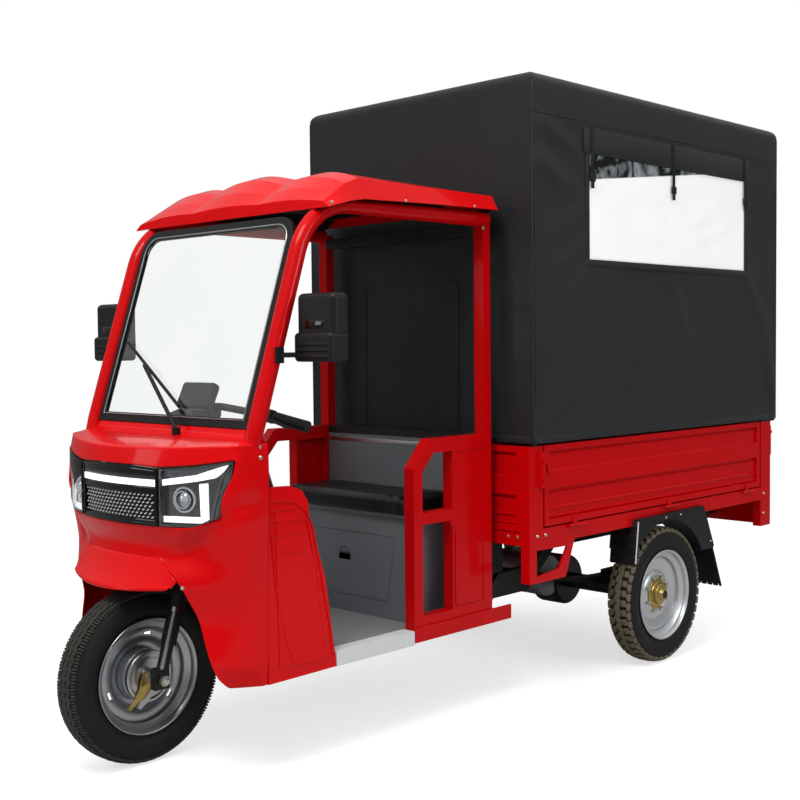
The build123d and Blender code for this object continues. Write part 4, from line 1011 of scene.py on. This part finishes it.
def chin_inner(u, v):
    """Under the grille, in front of the wheel."""
    return chin(ARCH_SHARE * u, v)


def chin_outer(u, v):
    """From the arch's top corner round to the rear, up to the lamp's lower corner."""
    return chin(two_part(ARCH_SHARE, LAMP_SHARE, u, FRONT_COLUMNS), v)


def cheek(u, v):
    """Between the lamp's outer end and the rear edge."""
    low, high = LAMP_SIDE[0][0], LAMP_SIDE[-1][0]
    z = low + (high - low) * v
    start = share_of(between(LAMP_SIDE, z), z)
    return nose_point(start + (2.0 - start) * u, z)


def brow(u, v):
    """The band over the lamp and grille."""
    s = two_part(0.0, TOP_SHARE, u, BROW_COLUMNS)
    y = min(s, 1.0) * read_table(NOSE_LEVELS, 900)[1]
    low, high = between(LAMP_TOP, min(s / TOP_SHARE, 1.0) * LAMP_TOP[-1][0]), between(BROW, y)
    point = nose_point(s, low + (high - low) * v)
    point.x -= 5.0 * v * max(0.0, 1.0 - s * 0.5)
    return point


def hood(u, v):
    """From the brow's crease up to the foot of the windscreen."""
    s = two_part(0.0, TOP_SHARE, u, BROW_COLUMNS)
    x, half, z = HOOD_BACK
    if s <= 1:
        back = Vector((x, half * s, z))
    else:
        back = Vector((x + (REAR_X - x) * (s - 1), half + 10 * (s - 1), z - 2))
    point = brow(u, 1.0).lerp(back, v)
    bulge = 4.0 * math.sin(math.pi * v) * max(0.0, 1.0 - s * 0.8)
    return point + Vector((0, 0, bulge))


def scuttle(u, v):
    """The short strip that rises from the hood to the windscreen's rubber."""
    low = hood(u * BROW_COLUMNS / (BROW_COLUMNS + SIDE_COLUMNS), 1.0)
    return low.lerp(Vector((SCUTTLE[0], min(low.y, SCUTTLE_HALF), SCUTTLE[1])), v)


# %% Lay the patches, mirror them and crease the borders
BORDER_CREASE = 1.0
BROW_CREASE = 0.55
bm = bmesh.new()
for columns, rows, place in (
        (FRONT_COLUMNS + SIDE_COLUMNS, 12, flank), (5, 5, chin_inner),
        (FRONT_COLUMNS + SIDE_COLUMNS, 5, chin_outer), (SIDE_COLUMNS, 8, cheek),
        (BROW_COLUMNS + SIDE_COLUMNS, 3, brow), (BROW_COLUMNS + SIDE_COLUMNS, 6, hood),
        (BROW_COLUMNS, 2, scuttle)):
    patch(bm, columns, rows, place)
bmesh.ops.mirror(bm, geom=everything(bm), merge_dist=0.4 * MM, axis="Y")
bmesh.ops.remove_doubles(bm, verts=bm.verts, dist=2.5 * MM)
outward(bm)
crease = bm.edges.layers.float.new("crease_edge")
for edge in bm.edges:
    middle = (edge.verts[0].co + edge.verts[1].co) / 2 / MM
    if edge.is_boundary:
        edge[crease] = BORDER_CREASE
    elif abs(middle.z - between(BROW, abs(middle.y))) < 2.5 and middle.x > 1180:
        edge[crease] = BROW_CREASE
print("nose skin:", len(bm.faces), "faces,", sum(e.is_boundary for e in bm.edges), "border edges")
cowl = put("nose_cowl", bm, "root", red_abs, 180)
smoothed(cowl, 2)
walled(cowl, "moulded wall", 3.5)
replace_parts(cowl, "front_cowl")

# %% [markdown]
# ## Lamps and grille
# The lamps and the grille lie on the same big arc as the nose. They are drawn
# flat, with X as the depth behind the front, and then wrapped: each point keeps
# its width and height, and its depth is measured along the arc.

# %% Draw flat, then wrap on the nose
WRAP_PITCH = 12.0  # the width of one flat strip of a wrapped piece, in mm


def arc_front(y):
    """X of the nose's front at one width, in mm."""
    return NOSE_CX + math.sqrt(NOSE_R ** 2 - y * y)


def wrapped(bm, pitch_mm=WRAP_PITCH):
    """Cut a flat drawing into strips and bend it round the nose's arc."""
    wide = [v.co.y for v in bm.verts]
    cut_planes(bm, 1, steps(min(wide), max(wide), pitch_mm * MM))
    for vert in bm.verts:
        vert.co.x += arc_front(vert.co.y / MM) * MM
    return bm


def flat_plate(outline, depth, thick, round_mm=0.0):
    """A plate with this outline of Y and Z points, its front at the given depth."""
    bm = bmesh.new()
    verts = [bm.verts.new(mm(depth - thick, y, z)) for y, z in outline]
    faces = bmesh.ops.contextual_create(bm, geom=verts)["faces"]
    pushed(bm, faces[:1], mm(thick, 0, 0))
    if round_mm:
        rounded(bm, bm.edges[:], round_mm * MM)
    return bm


def flat_frame(outer, inner, depth, thick):
    """A frame between two outlines with the same number of points."""
    bm = bmesh.new()
    loops = []
    for outline in (outer, inner):
        verts = [bm.verts.new(mm(depth - thick, y, z)) for y, z in outline]
        loops += [bm.edges.new(pair) for pair in zip(verts, verts[1:] + verts[:1])]
    faces = bmesh.ops.bridge_loops(bm, edges=loops)["faces"]
    return pushed(bm, faces, mm(thick, 0, 0))


def rectangle(half, low, high):
    """The outline of a rectangle about the middle, from its half width and two heights."""
    return [(-half, low), (half, low), (half, high), (-half, high)]


def shrunk(outline, margin):
    """The outline moved in towards its own middle by about this many mm."""
    cy = sum(y for y, _ in outline) / len(outline)
    cz = sum(z for _, z in outline) / len(outline)
    return [(y - math.copysign(margin, y - cy), z - math.copysign(margin, z - cz))
            for y, z in outline]


def front_piece(name, parts, finish, paired=True):
    """One piece of several parts on the nose, the same on both sides of it if paired."""
    bm = bmesh.new()
    for part in parts:
        join(bm, part)
    if paired:
        bmesh.ops.mirror(bm, geom=everything(bm), merge_dist=0, axis="Y")
        outward(bm)
    return put(name, bm, "root", finish, 35)


# %% Housing, bezels, light bars and fins of a headlamp
LENS_OUTLINE = [(190, 699), (300, 701), (368, 730), (377, 793), (399, 833), (405, 880), (300, 863),
                (190, 853)]
DARK_STEP = [(196, 804), (352, 812), (356, 730), (330, 706), (196, 706)]
TOP_TRAY = [(194, 826), (380, 858), (392, 874), (300, 860), (194, 850)]
TOP_BAR = [(196, 807), (300, 822), (352, 833), (376, 852), (384, 868), (366, 862), (300, 839),
           (196, 823)]
SIDE_BAR = [(309, 816), (330, 818), (331, 713), (312, 727)]
LOW_BAR = [(199, 711), (331, 713), (312, 729), (199, 727)]
SPOT_Y, SPOT_Z = 257, 772  # the middle of the projector lens
RING_SHARE = 0.86  # a ring's inner radius as a share of its outer one


def spot_ring(radius):
    """A circle about the projector lens, as 40 points."""
    return [(SPOT_Y + radius * math.cos(math.pi * i / 20),
             SPOT_Z + radius * math.sin(math.pi * i / 20)) for i in range(40)]


def fin(index):
    """One of the three upright fins at the lamp's outer end."""
    shift = 11 * index
    curve = [(338 + shift, 722 + 3 * index), (346 + shift, 760), (349 + shift * 0.9, 786),
             (360 + shift, 812), (371 + shift * 0.8, 842), (374 + shift * 0.8, 862)]
    back = [(y + 5.0, z) for y, z in reversed(curve)]
    return wrapped(flat_plate(curve + back, -7 + index, 14, 1.0), 6.0)


lamp_body = front_piece("headlamp_housings", [
    wrapped(flat_plate(LENS_OUTLINE, -24, 9)),
    wrapped(flat_frame(LENS_OUTLINE, shrunk(LENS_OUTLINE, 5), -0.5, 24)),
    wrapped(flat_plate(DARK_STEP, -17, 8, 2))], gloss_black)
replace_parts(lamp_body, "headlamps")
front_piece("headlamp_trays", [wrapped(flat_plate(TOP_TRAY, -12, 6, 1.5))], bezel_grey)
light_bars = front_piece("headlamp_light_bars", [
    wrapped(flat_plate(outline, -6, 7, 1.2)) for outline in (TOP_BAR, SIDE_BAR, LOW_BAR)],
    led_white)
front_piece("projector_rings", [
    wrapped(flat_frame(spot_ring(radius), spot_ring(radius * RING_SHARE), depth, thick))
    for radius, depth, thick in ((34, -14, 8), (24, -9, 6))], reflector)
dome = bmesh.new()
bmesh.ops.create_uvsphere(dome, u_segments=32, v_segments=16, radius=21 * MM)
bmesh.ops.scale(dome, vec=(0.55, 1, 1), verts=dome.verts)
bmesh.ops.translate(dome, verts=dome.verts, vec=mm(arc_front(SPOT_Y) - 14, SPOT_Y, SPOT_Z))
front_piece("projector_lenses", [dome], reflector)
front_piece("headlamp_fins", [fin(index) for index in range(3)], bezel_grey)
front_piece("headlamp_lenses", [wrapped(flat_plate(LENS_OUTLINE, 3.0, 2.5, 1.0))], lens)

# %% [markdown]
# ## The grille
# Between the lamps sits a gloss black panel. A white light bar runs across it
# in line with the lamps' upper bars, and below it rows of small bright
# studs stand in a shallow recess.

# %% Panel, light bar and studs
GRILLE_OUTLINE = [(-184, 697), (184, 697), (184, 854), (92, 859), (-92, 859), (-184, 854)]
UPPER_PLATE = [(-182, 826), (182, 826), (182, 852), (90, 857), (-90, 857), (-182, 852)]
MESH_LOW, MESH_TOP = 716, 782
MESH_HALF = 172
STUD_ROWS, STUD_COLUMNS = 7, 20
STUD_PITCH = (17.0, 10.0)  # across and up, in mm
STUD = [(-4.4, -1.4), (-1.2, -2.6), (4.4, 1.4), (1.2, 2.6)]  # a stud's corners from its middle
grille_body = front_piece("grille_body", [
    wrapped(flat_plate(GRILLE_OUTLINE, -9, 10)),
    wrapped(flat_frame(GRILLE_OUTLINE, shrunk(GRILLE_OUTLINE, 6), 1.0, 12)),
    wrapped(flat_frame(rectangle(182, 699, 800),
                       rectangle(MESH_HALF, MESH_LOW - 6, MESH_TOP + 4), -1.5, 9)),
    wrapped(flat_plate(UPPER_PLATE, -0.5, 9, 1.5))], gloss_black, False)
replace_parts(grille_body, "grille_panel")
front_piece("grille_light_bar", [wrapped(flat_plate(rectangle(183, 804, 822), -1.0, 7, 1.5))],
            led_white, False)
studs = []
for row in range(STUD_ROWS):
    columns = STUD_COLUMNS - row % 2
    for column in range(columns):
        y = (column - (columns - 1) / 2) * STUD_PITCH[0]
        z = MESH_LOW + 3 + row * STUD_PITCH[1]
        studs.append(wrapped(flat_plate([(y + dy, z + dz) for dy, dz in STUD], -3.0, 3)))
mesh_studs = front_piece("grille_mesh", studs, stud_silver, False)
print("lamp and grille:", sum(len(o.data.polygons) for o in (lamp_body, light_bars, mesh_studs)),
      "faces")

# %% [markdown]
# ## The seat cushion
# The cushion is a foam block in a tight vinyl cover. Its cover starts a little
# small, a cloth simulation blows it up with air pressure, and no point may move
# further than the foam would let it. The flat underside stays on the seat base.

# %% The cover before it is blown up
CUSHION_INSET = mm(7, 7, 9)
CUSHION_CAP = 11 * MM  # how far the foam lets a point move
CUSHION_EDGE_R = 12 * MM
VOXEL = 6 * MM


def applied(piece):
    """A new mesh with the piece's modifiers worked in."""
    scene.view_layers[0].update()
    graph = bpy.context.evaluated_depsgraph_get()
    made = bpy.data.meshes.new_from_object(piece.evaluated_get(graph))
    piece.modifiers.clear()
    return made


low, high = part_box("seat_cushion")
low, high = low + CUSHION_INSET, high - CUSHION_INSET
low.z -= CUSHION_INSET.z
bm = bmesh.new()
box(bm, low, high)
rims = [e for e in bm.edges if max(v.co.z for v in e.verts) > low.z + 0.01]
rounded(bm, rims, CUSHION_EDGE_R, 3)
cushion = put("seat_cushion_cover", bm, "root", vinyl, 180)
voxels = cushion.modifiers.new("even mesh", "REMESH")
voxels.mode = "VOXEL"
voxels.voxel_size = VOXEL
even = applied(cushion)
cushion.data = even

# %% Blow it up, but no further than the foam lets it
PRESSURE = 4.0
FRAMES = 20
cover = cushion.modifiers.new("cover", "CLOTH")
cover.settings.use_pressure = True
cover.settings.uniform_pressure_force = PRESSURE
cover.settings.effector_weights.gravity = 0.0
for number in range(1, FRAMES + 1):
    scene.frame_set(number)
for vert, moved in zip(even.vertices, applied(cushion).vertices):
    shift = moved.co - vert.co
    if shift.length > CUSHION_CAP:
        shift = shift.normalized() * CUSHION_CAP
    vert.co = vert.co + shift
scene.frame_set(1)
for vert in even.vertices:
    vert.co.z = max(vert.co.z, low.z)
for polygon in even.polygons:
    polygon.use_smooth = True
if not even.materials:
    even.materials.append(vinyl)
smoothed(cushion, 1)
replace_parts(cushion, "seat_cushion")
print("cushion:", len(even.polygons), "faces, crown at",
      round(max(v.co.z for v in even.vertices) / MM), "mm")

# %% [markdown]
# ## Painted shade under the cab roof
# Under the red roof moulding a thin black sheet is painted shade: it darkens the roof's underside,
# where the shadow under the roof falls. It follows the roof, so it is made from the roof's own
# faces that look down, moved clear by a millimetre.

# %% Line the roof's underside with painted shade
SHADE_SHEET_GAP = 1.2
bm = bmesh.new()
bm.from_mesh(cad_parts["cab_roof"].data)
upward = [f for f in bm.faces if f.normal.z > -0.25]
bmesh.ops.delete(bm, geom=upward, context="FACES")
bmesh.ops.remove_doubles(bm, verts=bm.verts, dist=0.01 * MM)
bm.normal_update()
shifts = {v: v.normal * SHADE_SHEET_GAP * MM for v in bm.verts}
for vert, shift in shifts.items():
    vert.co += shift
# A black sheet of painted shade under the roof.
painted_shade_sheet = put("cab_roof_painted_shade_sheet", bm, "root", black_abs, 30)
print("lining:", len(painted_shade_sheet.data.polygons), "faces")

# %% [markdown]
# ## Pressed steel wheels
# Each wheel is a rolled barrel with a pressed disc welded in. Both are spun from
# their profiles. The front disc has a deep bowl round the brake and three vent
# slots, and the rear one is flatter, with lug nuts round a plated hub cap.

# %% Spin profiles of radius and offset
SPIN_STEPS = 96
HEAD_TAPER = 0.86  # a bolt head's upper radius as a share of its lower one
HEAD_ROUND = 0.3  # how much of a bolt head's height or radius is rounded off


def turned(bm, profile, centre, sign=1, closed=True):
    """Spin a profile, radius and offset in mm, about the axle line."""
    part = bmesh.new()
    spun(part, [mm(0, sign * w, r) for r, w in profile], SPIN_STEPS, closed)
    if not closed and sum(f.normal.y for f in part.faces) * sign < 0:
        bmesh.ops.reverse_faces(part, faces=part.faces)
    bmesh.ops.translate(part, vec=centre, verts=part.verts)
    join(bm, part)


def bolt(bm, place, facing, radius, height, sides=12):
    """A low domed bolt head or nut on a face; place in mm, facing a direction."""
    head = bmesh.new()
    bmesh.ops.create_cone(head, cap_ends=True, segments=sides, radius1=radius * MM,
                          radius2=radius * MM * HEAD_TAPER, depth=height * MM)
    bmesh.ops.translate(head, vec=(0, 0, height * MM / 2), verts=head.verts)
    upper = [e for e in head.edges if all(v.co.z > height * MM * 0.9 for v in e.verts)]
    rounded(head, upper, min(radius, height) * HEAD_ROUND * MM)
    aim = Vector(facing).to_track_quat("Z", "Y").to_matrix().to_4x4()
    bmesh.ops.transform(head, matrix=Matrix.Translation(mm(*place)) @ aim, verts=head.verts)
    join(bm, head)


# %% Barrels, drums and discs
BARREL = [(164, 46), (165, 44.5), (164, 42), (161, 39.5), (160, 36), (160, 27), (154, 22),
          (142, 17), (142, -17), (154, -22), (160, -27), (160, -36), (162, -39.5),
          (164, -42), (165, -44.5), (164, -46), (161, -45.5), (156, -39), (155, -34),
          (155, -28), (149, -23), (138, -18), (138, 18), (149, 23), (155, 28), (155, 34),
          (156, 39), (161, 45.5)]
FRONT_DISC = [(139.5, 2), (138, 6.5), (134, 9.5), (128, 10.5), (122, 10.5), (111, 9.5), (106, 5.5),
              (101, -1), (95.5, -7), (89, -10.5), (81, -11), (73, -9)]
REAR_DISC = [(139.5, 2), (138, 6.5), (134, 8.5), (126, 8.5), (112, 3.5), (96, -1.5), (84, -2.5),
             (78, 0.5), (72, 6), (56, 6.5), (44, 6.5)]
FRONT_DRUM = [(9.3, -34), (54, -34), (66, -31), (74, -20), (74, 24), (72, 26), (69, 26),
              (68, 24), (68, 12), (9.3, 12)]
REAR_DRUM = [(20.5, -44), (86, -44), (86, -88), (90, -88), (92, -86), (92, -36), (56, -20),
             (56, 6), (20.5, 6)]
SLOT_ANGLES = (99, -21, -141)
SLOT_REACH = 5.7  # half a slot's length, in degrees
SLOT_RADII = (111, 121)


def barrel(name, body, drum, centre, sign, finish, packed):
    """The rolled barrel and the brake drum inside it."""
    bm = bmesh.new()
    turned(bm, BARREL, centre, sign)
    turned(bm, drum, centre, sign)
    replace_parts(put(name, bm, body, finish, 50), packed)


def disc(name, body, profile, centre, sign, finish, slots=()):
    """The pressed disc as one sheet with its vent slots, then given its thickness."""
    bm = bmesh.new()
    turned(bm, profile, centre, sign, closed=False)
    cut = []
    for face in bm.faces:
        spot = (face.calc_center_median() - centre) / MM
        angle = math.degrees(math.atan2(spot.z, spot.x))
        near = min((abs((angle - a + 180) % 360 - 180) for a in slots), default=999)
        if SLOT_RADII[0] < math.hypot(spot.x, spot.z) < SLOT_RADII[1] and near < SLOT_REACH:
            cut.append(face)
    bmesh.ops.delete(bm, geom=cut, context="FACES")
    walled(put(name, bm, body, finish, 60), "sheet", 3.5)


front_hub = middle_of("front_rim")
barrel("front_wheel_barrel", "front_wheel", FRONT_DRUM, front_hub, 1, wheel_silver, "front_rim")
disc("front_wheel_disc", "front_wheel", FRONT_DISC, front_hub, 1, wheel_silver, SLOT_ANGLES)

# %% Rear wheels with hub caps and lug nuts
LUG_RADIUS = 66.0
LUGS = 8
HUB_CAP = [(56, 6.5), (56, 10), (53, 12), (42, 12.5), (39, 15), (37, 27), (34, 30), (24, 31),
           (22, 33), (20, 41), (17, 43.5), (6, 44), (6, 40), (21, 30), (21, 7)]
for side, sign in (("left", 1), ("right", -1)):
    hub = middle_of(f"rear_tyre_{side}")
    body = f"rear_wheel_{side}"
    barrel(f"rear_wheel_barrel_{side}", body, REAR_DRUM, hub, sign, rear_silver, f"rear_rim_{side}")
    disc(f"rear_wheel_disc_{side}", body, REAR_DISC, hub, sign, rear_silver)
    bm = bmesh.new()
    turned(bm, HUB_CAP, hub, sign)
    put(f"rear_hub_cap_{side}", bm, body, yellow_zinc, 35)
    bm = bmesh.new()
    for index in range(LUGS):
        turn = 2 * math.pi * (index + 0.5) / LUGS
        arm = Vector((LUG_RADIUS * math.cos(turn), sign * 6, LUG_RADIUS * math.sin(turn)))
        bolt(bm, hub / MM + arm, (0, sign, 0), 9.5, 13, 6)
    put(f"rear_lug_nuts_{side}", bm, body, zinc, 30)

# %% [markdown]
# ## The front brake
# The brake plate is turned aluminium with a bright rim, and its lever is plated
# and hangs on a bolt at the plate's edge.

# %% Brake plate and lever
BRAKE_PLATE = [(21, 40.5), (32, 41.5), (40, 43.5), (54, 44), (60, 42.5), (63, 43.5), (66, 46),
               (72, 46), (74, 44), (74, 40), (66, 38.5), (21, 38.5)]
LEVER = [(1276, 268), (1292, 262), (1304, 240), (1310, 216), (1324, 196), (1350, 172),
         (1342, 168), (1316, 182), (1292, 190), (1276, 206), (1266, 232)]
LEVER_FACES = (46.5, 52.0)  # the lever's two faces, in mm from the wheel's middle


def plate(bm, outline, y_from, y_to, bevel_mm):
    """A flat plate of an outline of X and Z, in mm, between two places along Y."""
    made = bmesh.new()
    face = made.faces.new([made.verts.new(mm(x, y_from, z)) for x, z in outline])
    pushed(made, [face], mm(0, y_to - y_from, 0))
    rounded(made, made.edges[:], bevel_mm * MM)
    join(bm, made)


bm = bmesh.new()
turned(bm, BRAKE_PLATE, front_hub)
put("brake_plate_face", bm, "fork", bright_metal, 35)
bm = bmesh.new()
plate(bm, LEVER, *[front_hub.y / MM + y for y in LEVER_FACES], 1.2)
bolt(bm, (1284, 52, 252), (0, 1, 0), 9, 7, 6)
bolt(bm, (1342, 52, 173), (0, 1, 0), 5, 7)
put("front_brake_lever", bm, "fork", yellow_zinc, 35)

# %% [markdown]
# ## The beak over the front wheel
# The beak is a thin moulded blade. Its root follows the wheel arch's edge just
# inside the nose, its lip is a shallow bow in front, and the top between them
# is slightly hollow, so the light slides along it.

# %% Lay the beak between its root and its lip
BEAK_LIP = (1396.0, 60.0, 524.0, 12.0)  # X in the middle, its fall, Z in the middle, its rise
BEAK_HALF = 234.0
ROOT_CORNER = (0.64, 156.0, 607.0)  # share across, Y and Z
ROOT_END = (250.0, 550.0)
BEAK_HOLLOW = 8.0
LIP_START = 0.92  # the share where the lip turns down
LIP_DROP = 7.0


def beak_root(u):
    """The line under the arch's edge; u runs from -1 to 1 across."""
    corner, corner_y, corner_z = ROOT_CORNER
    part = max(0.0, (abs(u) - corner) / (1 - corner))
    y = corner_y * min(abs(u) / corner, 1.0) + (ROOT_END[0] - corner_y) * part
    z = corner_z - (corner_z - ROOT_END[1]) * part ** 1.3
    return Vector((nose_point(share_of(y, z), z).x + 1.5, math.copysign(y, u), z + 3.0))


def beak(u, v):
    """A point of the blade, from the root (v = 0) to the lip's turned edge (v = 1)."""
    across = 2 * u - 1
    front, fall, low, rise = BEAK_LIP
    lip = Vector((front - fall * across ** 2, BEAK_HALF * across, low + rise * across ** 2))
    share = min(v / LIP_START, 1.0)
    point = beak_root(across).lerp(lip, share)
    point.z -= BEAK_HOLLOW * math.sin(math.pi * share) * (1 - 0.4 * abs(across))
    if v > LIP_START:
        point.z -= LIP_DROP * (v - LIP_START) / (1 - LIP_START)
    return point


bm = bmesh.new()
patch(bm, 28, 12, beak)
outward(bm)
if sum(f.normal.z for f in bm.faces) < 0:
    bmesh.ops.reverse_faces(bm, faces=bm.faces)
blade = put("front_beak", bm, "root", red_abs, 180)
walled(blade, "moulded wall", 3.5)
smoothed(blade, 1)
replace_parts(blade, "front_mudguard")

# %% [markdown]
# ## Bolts
# Zinc bolts hold the frame, the roof and the fenders. Each bolt is dropped
# onto the surface that carries it, so it always sits on it.

# %% Drop the bolts onto their surfaces
RAY_START = 0.15  # how far outside the surface a ray starts, in metres
RAY_LENGTH = 0.3
HEAD_HEIGHT = 0.62  # of its radius
BOLTS = [  # what carries them, direction faced, radius, places in mm on the left side
    ("bed_frame", (1, 0, 0), 6.5, [(140, 433, 552.6), (140, 470.5, 553)]),
    ("bed_frame", (0, 1, 0), 6.5, [(98, 538, 555), (55.6, 538, 555)]),
    ("bed_frame", (0, 1, 0), 6.0, [(-1432, 538, 549.6), (-1428.5, 538, 469)]),
    ("cab_roof", (0, 1, 0), 6.0, [(925, 464, 1574)]),
    ("cab_roof", (0, 1, 0), 5.0, [(613, 464, 1604), (290, 464, 1613)]),
    ("cab_pillars", (0, 1, 0), 6.5, [(206, 412, 1552)]),
    ("cab_pillars", (0.3, 1, 0), 6.5, [(1156, 414, 912)]),
    ("front_cowl", (0.3, 1, 0), 6.5, [(1157, 414, 884)]),
    ("front_cowl", (0.85, 0.5, 0), 6.0, [(1292, 252, 536)]),
    ("rear_fenders", (0, 1, 0), 4.5, [(-742, 545, 538), (-640, 545, 538), (-960, 545, 412)])]


def seated(surface, place, facing):
    """Where a line against the facing direction meets a surface, in mm, and its normal."""
    facing = facing.normalized()
    hit, normal, _, _ = surface.ray_cast(place + facing * RAY_START, -facing, RAY_LENGTH)
    return hit / MM, normal


bm = bmesh.new()
for name, facing, radius, places in BOLTS:
    carrier = bmesh.new()
    carrier.from_mesh(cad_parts[name].data)
    surface = BVHTree.FromBMesh(carrier)
    carrier.free()
    for place in places:
        for flip in (Vector((1, 1, 1)), Vector((1, -1, 1))):
            spot, normal = seated(surface, mm(*place) * flip, Vector(facing) * flip)
            bolt(bm, spot, normal, radius, radius * HEAD_HEIGHT)
put("zinc_bolts", bm, "root", zinc, 30)

# %% [markdown]
# ## Beads, ribs and rods
# The leg panels carry pressed beads, and the rear fenders have ribs and a pale strip along their
# edge, which is a painted highlight. A spring rod shows in each fork leg's channel, and a nut holds
# the axle.

# %% Beads on the leg panels
LEG_FACE = 401.6
BEAD_R = 2.4
BEADS = [  # each as X and Z: the field's edge, the panel's edge and two bars
    [(1112, 664), (1101, 536), (1083, 443), (1064, 371), (1045, 313), (1030, 302), (1003, 300),
     (936, 302), (925, 312), (933, 407), (952, 546), (975, 664), (985, 692), (1001, 712),
     (1034, 733), (1050, 736), (1116, 736)],
    [(1120, 762), (1071, 759), (1034, 752), (1003, 736), (978, 706), (962, 670), (934, 540),
     (906, 400), (892, 300)],
    [(1027, 709), (1110, 709)], [(995, 666), (1112, 664)]]
bm = bmesh.new()
for side in (1, -1):
    for line in BEADS:
        tube(bm, [mm(x, side * LEG_FACE, z) for x, z in line], BEAD_R, sides=10)
put("leg_panel_beads", outward(bm), "root", red_abs, 50)

# %% Ribs and a painted edge highlight on the rear fenders
FOOT_X, FOOT_Z = -440.0, 392.0
HEAD_X, HEAD_Z = -458.0, 546.0
RIB_SHARES = (0.12, 0.36, 0.6, 0.84)  # how far up the skirt each rib lies
EDGE_Y, EDGE_R = 545, 2.4
SKIRT = [(FOOT_X + 4, FOOT_Z - 4), (HEAD_X + 4, HEAD_Z), (HEAD_X - 1, HEAD_Z),
         (FOOT_X + 1, FOOT_Z - 4)]
bm = bmesh.new()
edges = bmesh.new()
for side in (1, -1):
    ys = sided(side, 436, 543)
    plate(bm, SKIRT, *ys, 0.8)
    for share in RIB_SHARES:
        x = FOOT_X + (HEAD_X - FOOT_X) * share
        z = FOOT_Z + (HEAD_Z - FOOT_Z) * share
        band(bm, (x - 8, ys[0], z - 9), (x + 4.5, ys[1], z + 9), 4.0)
    # A pale tube along each fender's edge is a painted highlight, in the sill's silver-white.
    tube(edges, [mm(FOOT_X + 2, side * EDGE_Y, FOOT_Z + 2),
                 mm(HEAD_X + 1, side * EDGE_Y, HEAD_Z - 4)], EDGE_R)
put("fender_ribs", bm, "root", black_abs, 50)
put("fender_edge_highlights", outward(edges), "root", sill_white, 50)

# %% Fork springs and axle nuts
RAKE = math.tan(math.radians(17.0))
HUB_HEIGHT = 250
LEG_Y = 95.0
ROD_OUT = (13.6, 13.2)
ROD_TOP, ROD_FOOT, ROD_STEPS = 436, 282, 60
COIL_TOP, COIL_PITCH, COIL_TALL, COILS = 430, 10, 3.5, 15
ROD_R, COIL_R, NUT_R = 5.6, 6.6, 9.5
NUT_TOP, NUT_FOOT = 450, 437


def on_leg(z, side):
    """A point on the outer front of a fork leg at one height."""
    return mm(front_hub.x / MM - RAKE * (z - HUB_HEIGHT) + ROD_OUT[0],
              side * (LEG_Y + ROD_OUT[1]), z)


bm = bmesh.new()
nuts = bmesh.new()
for side in (1, -1):
    tube(bm, [on_leg(ROD_TOP - (ROD_TOP - ROD_FOOT) * i / ROD_STEPS, side)
              for i in range(ROD_STEPS + 1)], ROD_R, sides=12)
    for index in range(COILS):
        z = COIL_TOP - index * COIL_PITCH
        tube(bm, [on_leg(z, side), on_leg(z - COIL_TALL, side)], COIL_R, sides=12)
    tube(nuts, [on_leg(NUT_TOP, side), on_leg(NUT_FOOT, side)], NUT_R, sides=6)
    bolt(nuts, (front_hub.x / MM, side * 122, HUB_HEIGHT), (0, side, 0), 13.5, 9, 6)
put("fork_spring_rods", outward(bm), "fork", bright_metal, 40)
put("fork_nuts", outward(nuts), "fork", zinc, 30)

# %% [markdown]
# ## Windscreen strip, seat strip and mirror details
# A bright strip is pressed into the windscreen's rubber, its ends turned round
# the upper corners. A second one lies across the seat's back panel, and the
# mirror housings have three ridges and a dark slot.

# %% The strip in the windscreen's rubber
TILT = math.radians(18.0)
SCREEN_FOOT = (1156.0, 956.0)
STRIP_HALF, STRIP_LOW, STRIP_TOP, STRIP_R = 343.0, 23.0, 593.0, 52.0
STRIP_OUT = 7.4
STRIP_THICK = 2.6


def on_screen(y, up, out):
    """A point in metres on the windscreen's plane, from its foot."""
    x = SCREEN_FOOT[0] - up * math.sin(TILT) + out * math.cos(TILT)
    return mm(x, y, SCREEN_FOOT[1] + up * math.cos(TILT) + out * math.sin(TILT))


loop = [(-STRIP_HALF, STRIP_LOW), (STRIP_HALF, STRIP_LOW)]
for sign, first in ((1, 0), (-1, 90)):
    for turn in range(first, first + 91, 15):
        loop.append((sign * (STRIP_HALF - STRIP_R) + STRIP_R * math.cos(math.radians(turn)),
                     STRIP_TOP - STRIP_R + STRIP_R * math.sin(math.radians(turn))))
bm = bmesh.new()
tube(bm, [on_screen(y, up, STRIP_OUT) for y, up in loop], STRIP_THICK, closed=True)
put("windscreen_bright_strip", outward(bm), "root", bright_metal, 50)

# %% The seat's strip and the mirrors' ridges and slots
bm = bmesh.new()
panel_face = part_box("seat_back_panel")[1].x / MM
band(bm, (panel_face, -350, 836), (panel_face + 3, 350, 850), 1.2)
put("seat_back_strip", bm, "root", bright_metal, 40)
bm = bmesh.new()
slots = bmesh.new()
for side in (1, -1):
    near, far = sided(side, 440, 560)
    for z in (1152, 1168, 1184):
        band(bm, (1040, near, z - 4), (1050, far, z + 4), 3.0)
    near, far = sided(side, 462, 536)
    band(slots, (1031, near, 1226), (1036.5, far, 1248), 2.0)
put("mirror_ridges", bm, "root", black_abs, 50)
put("mirror_slots", slots, "root", gloss_black, 50)
print("trim done")
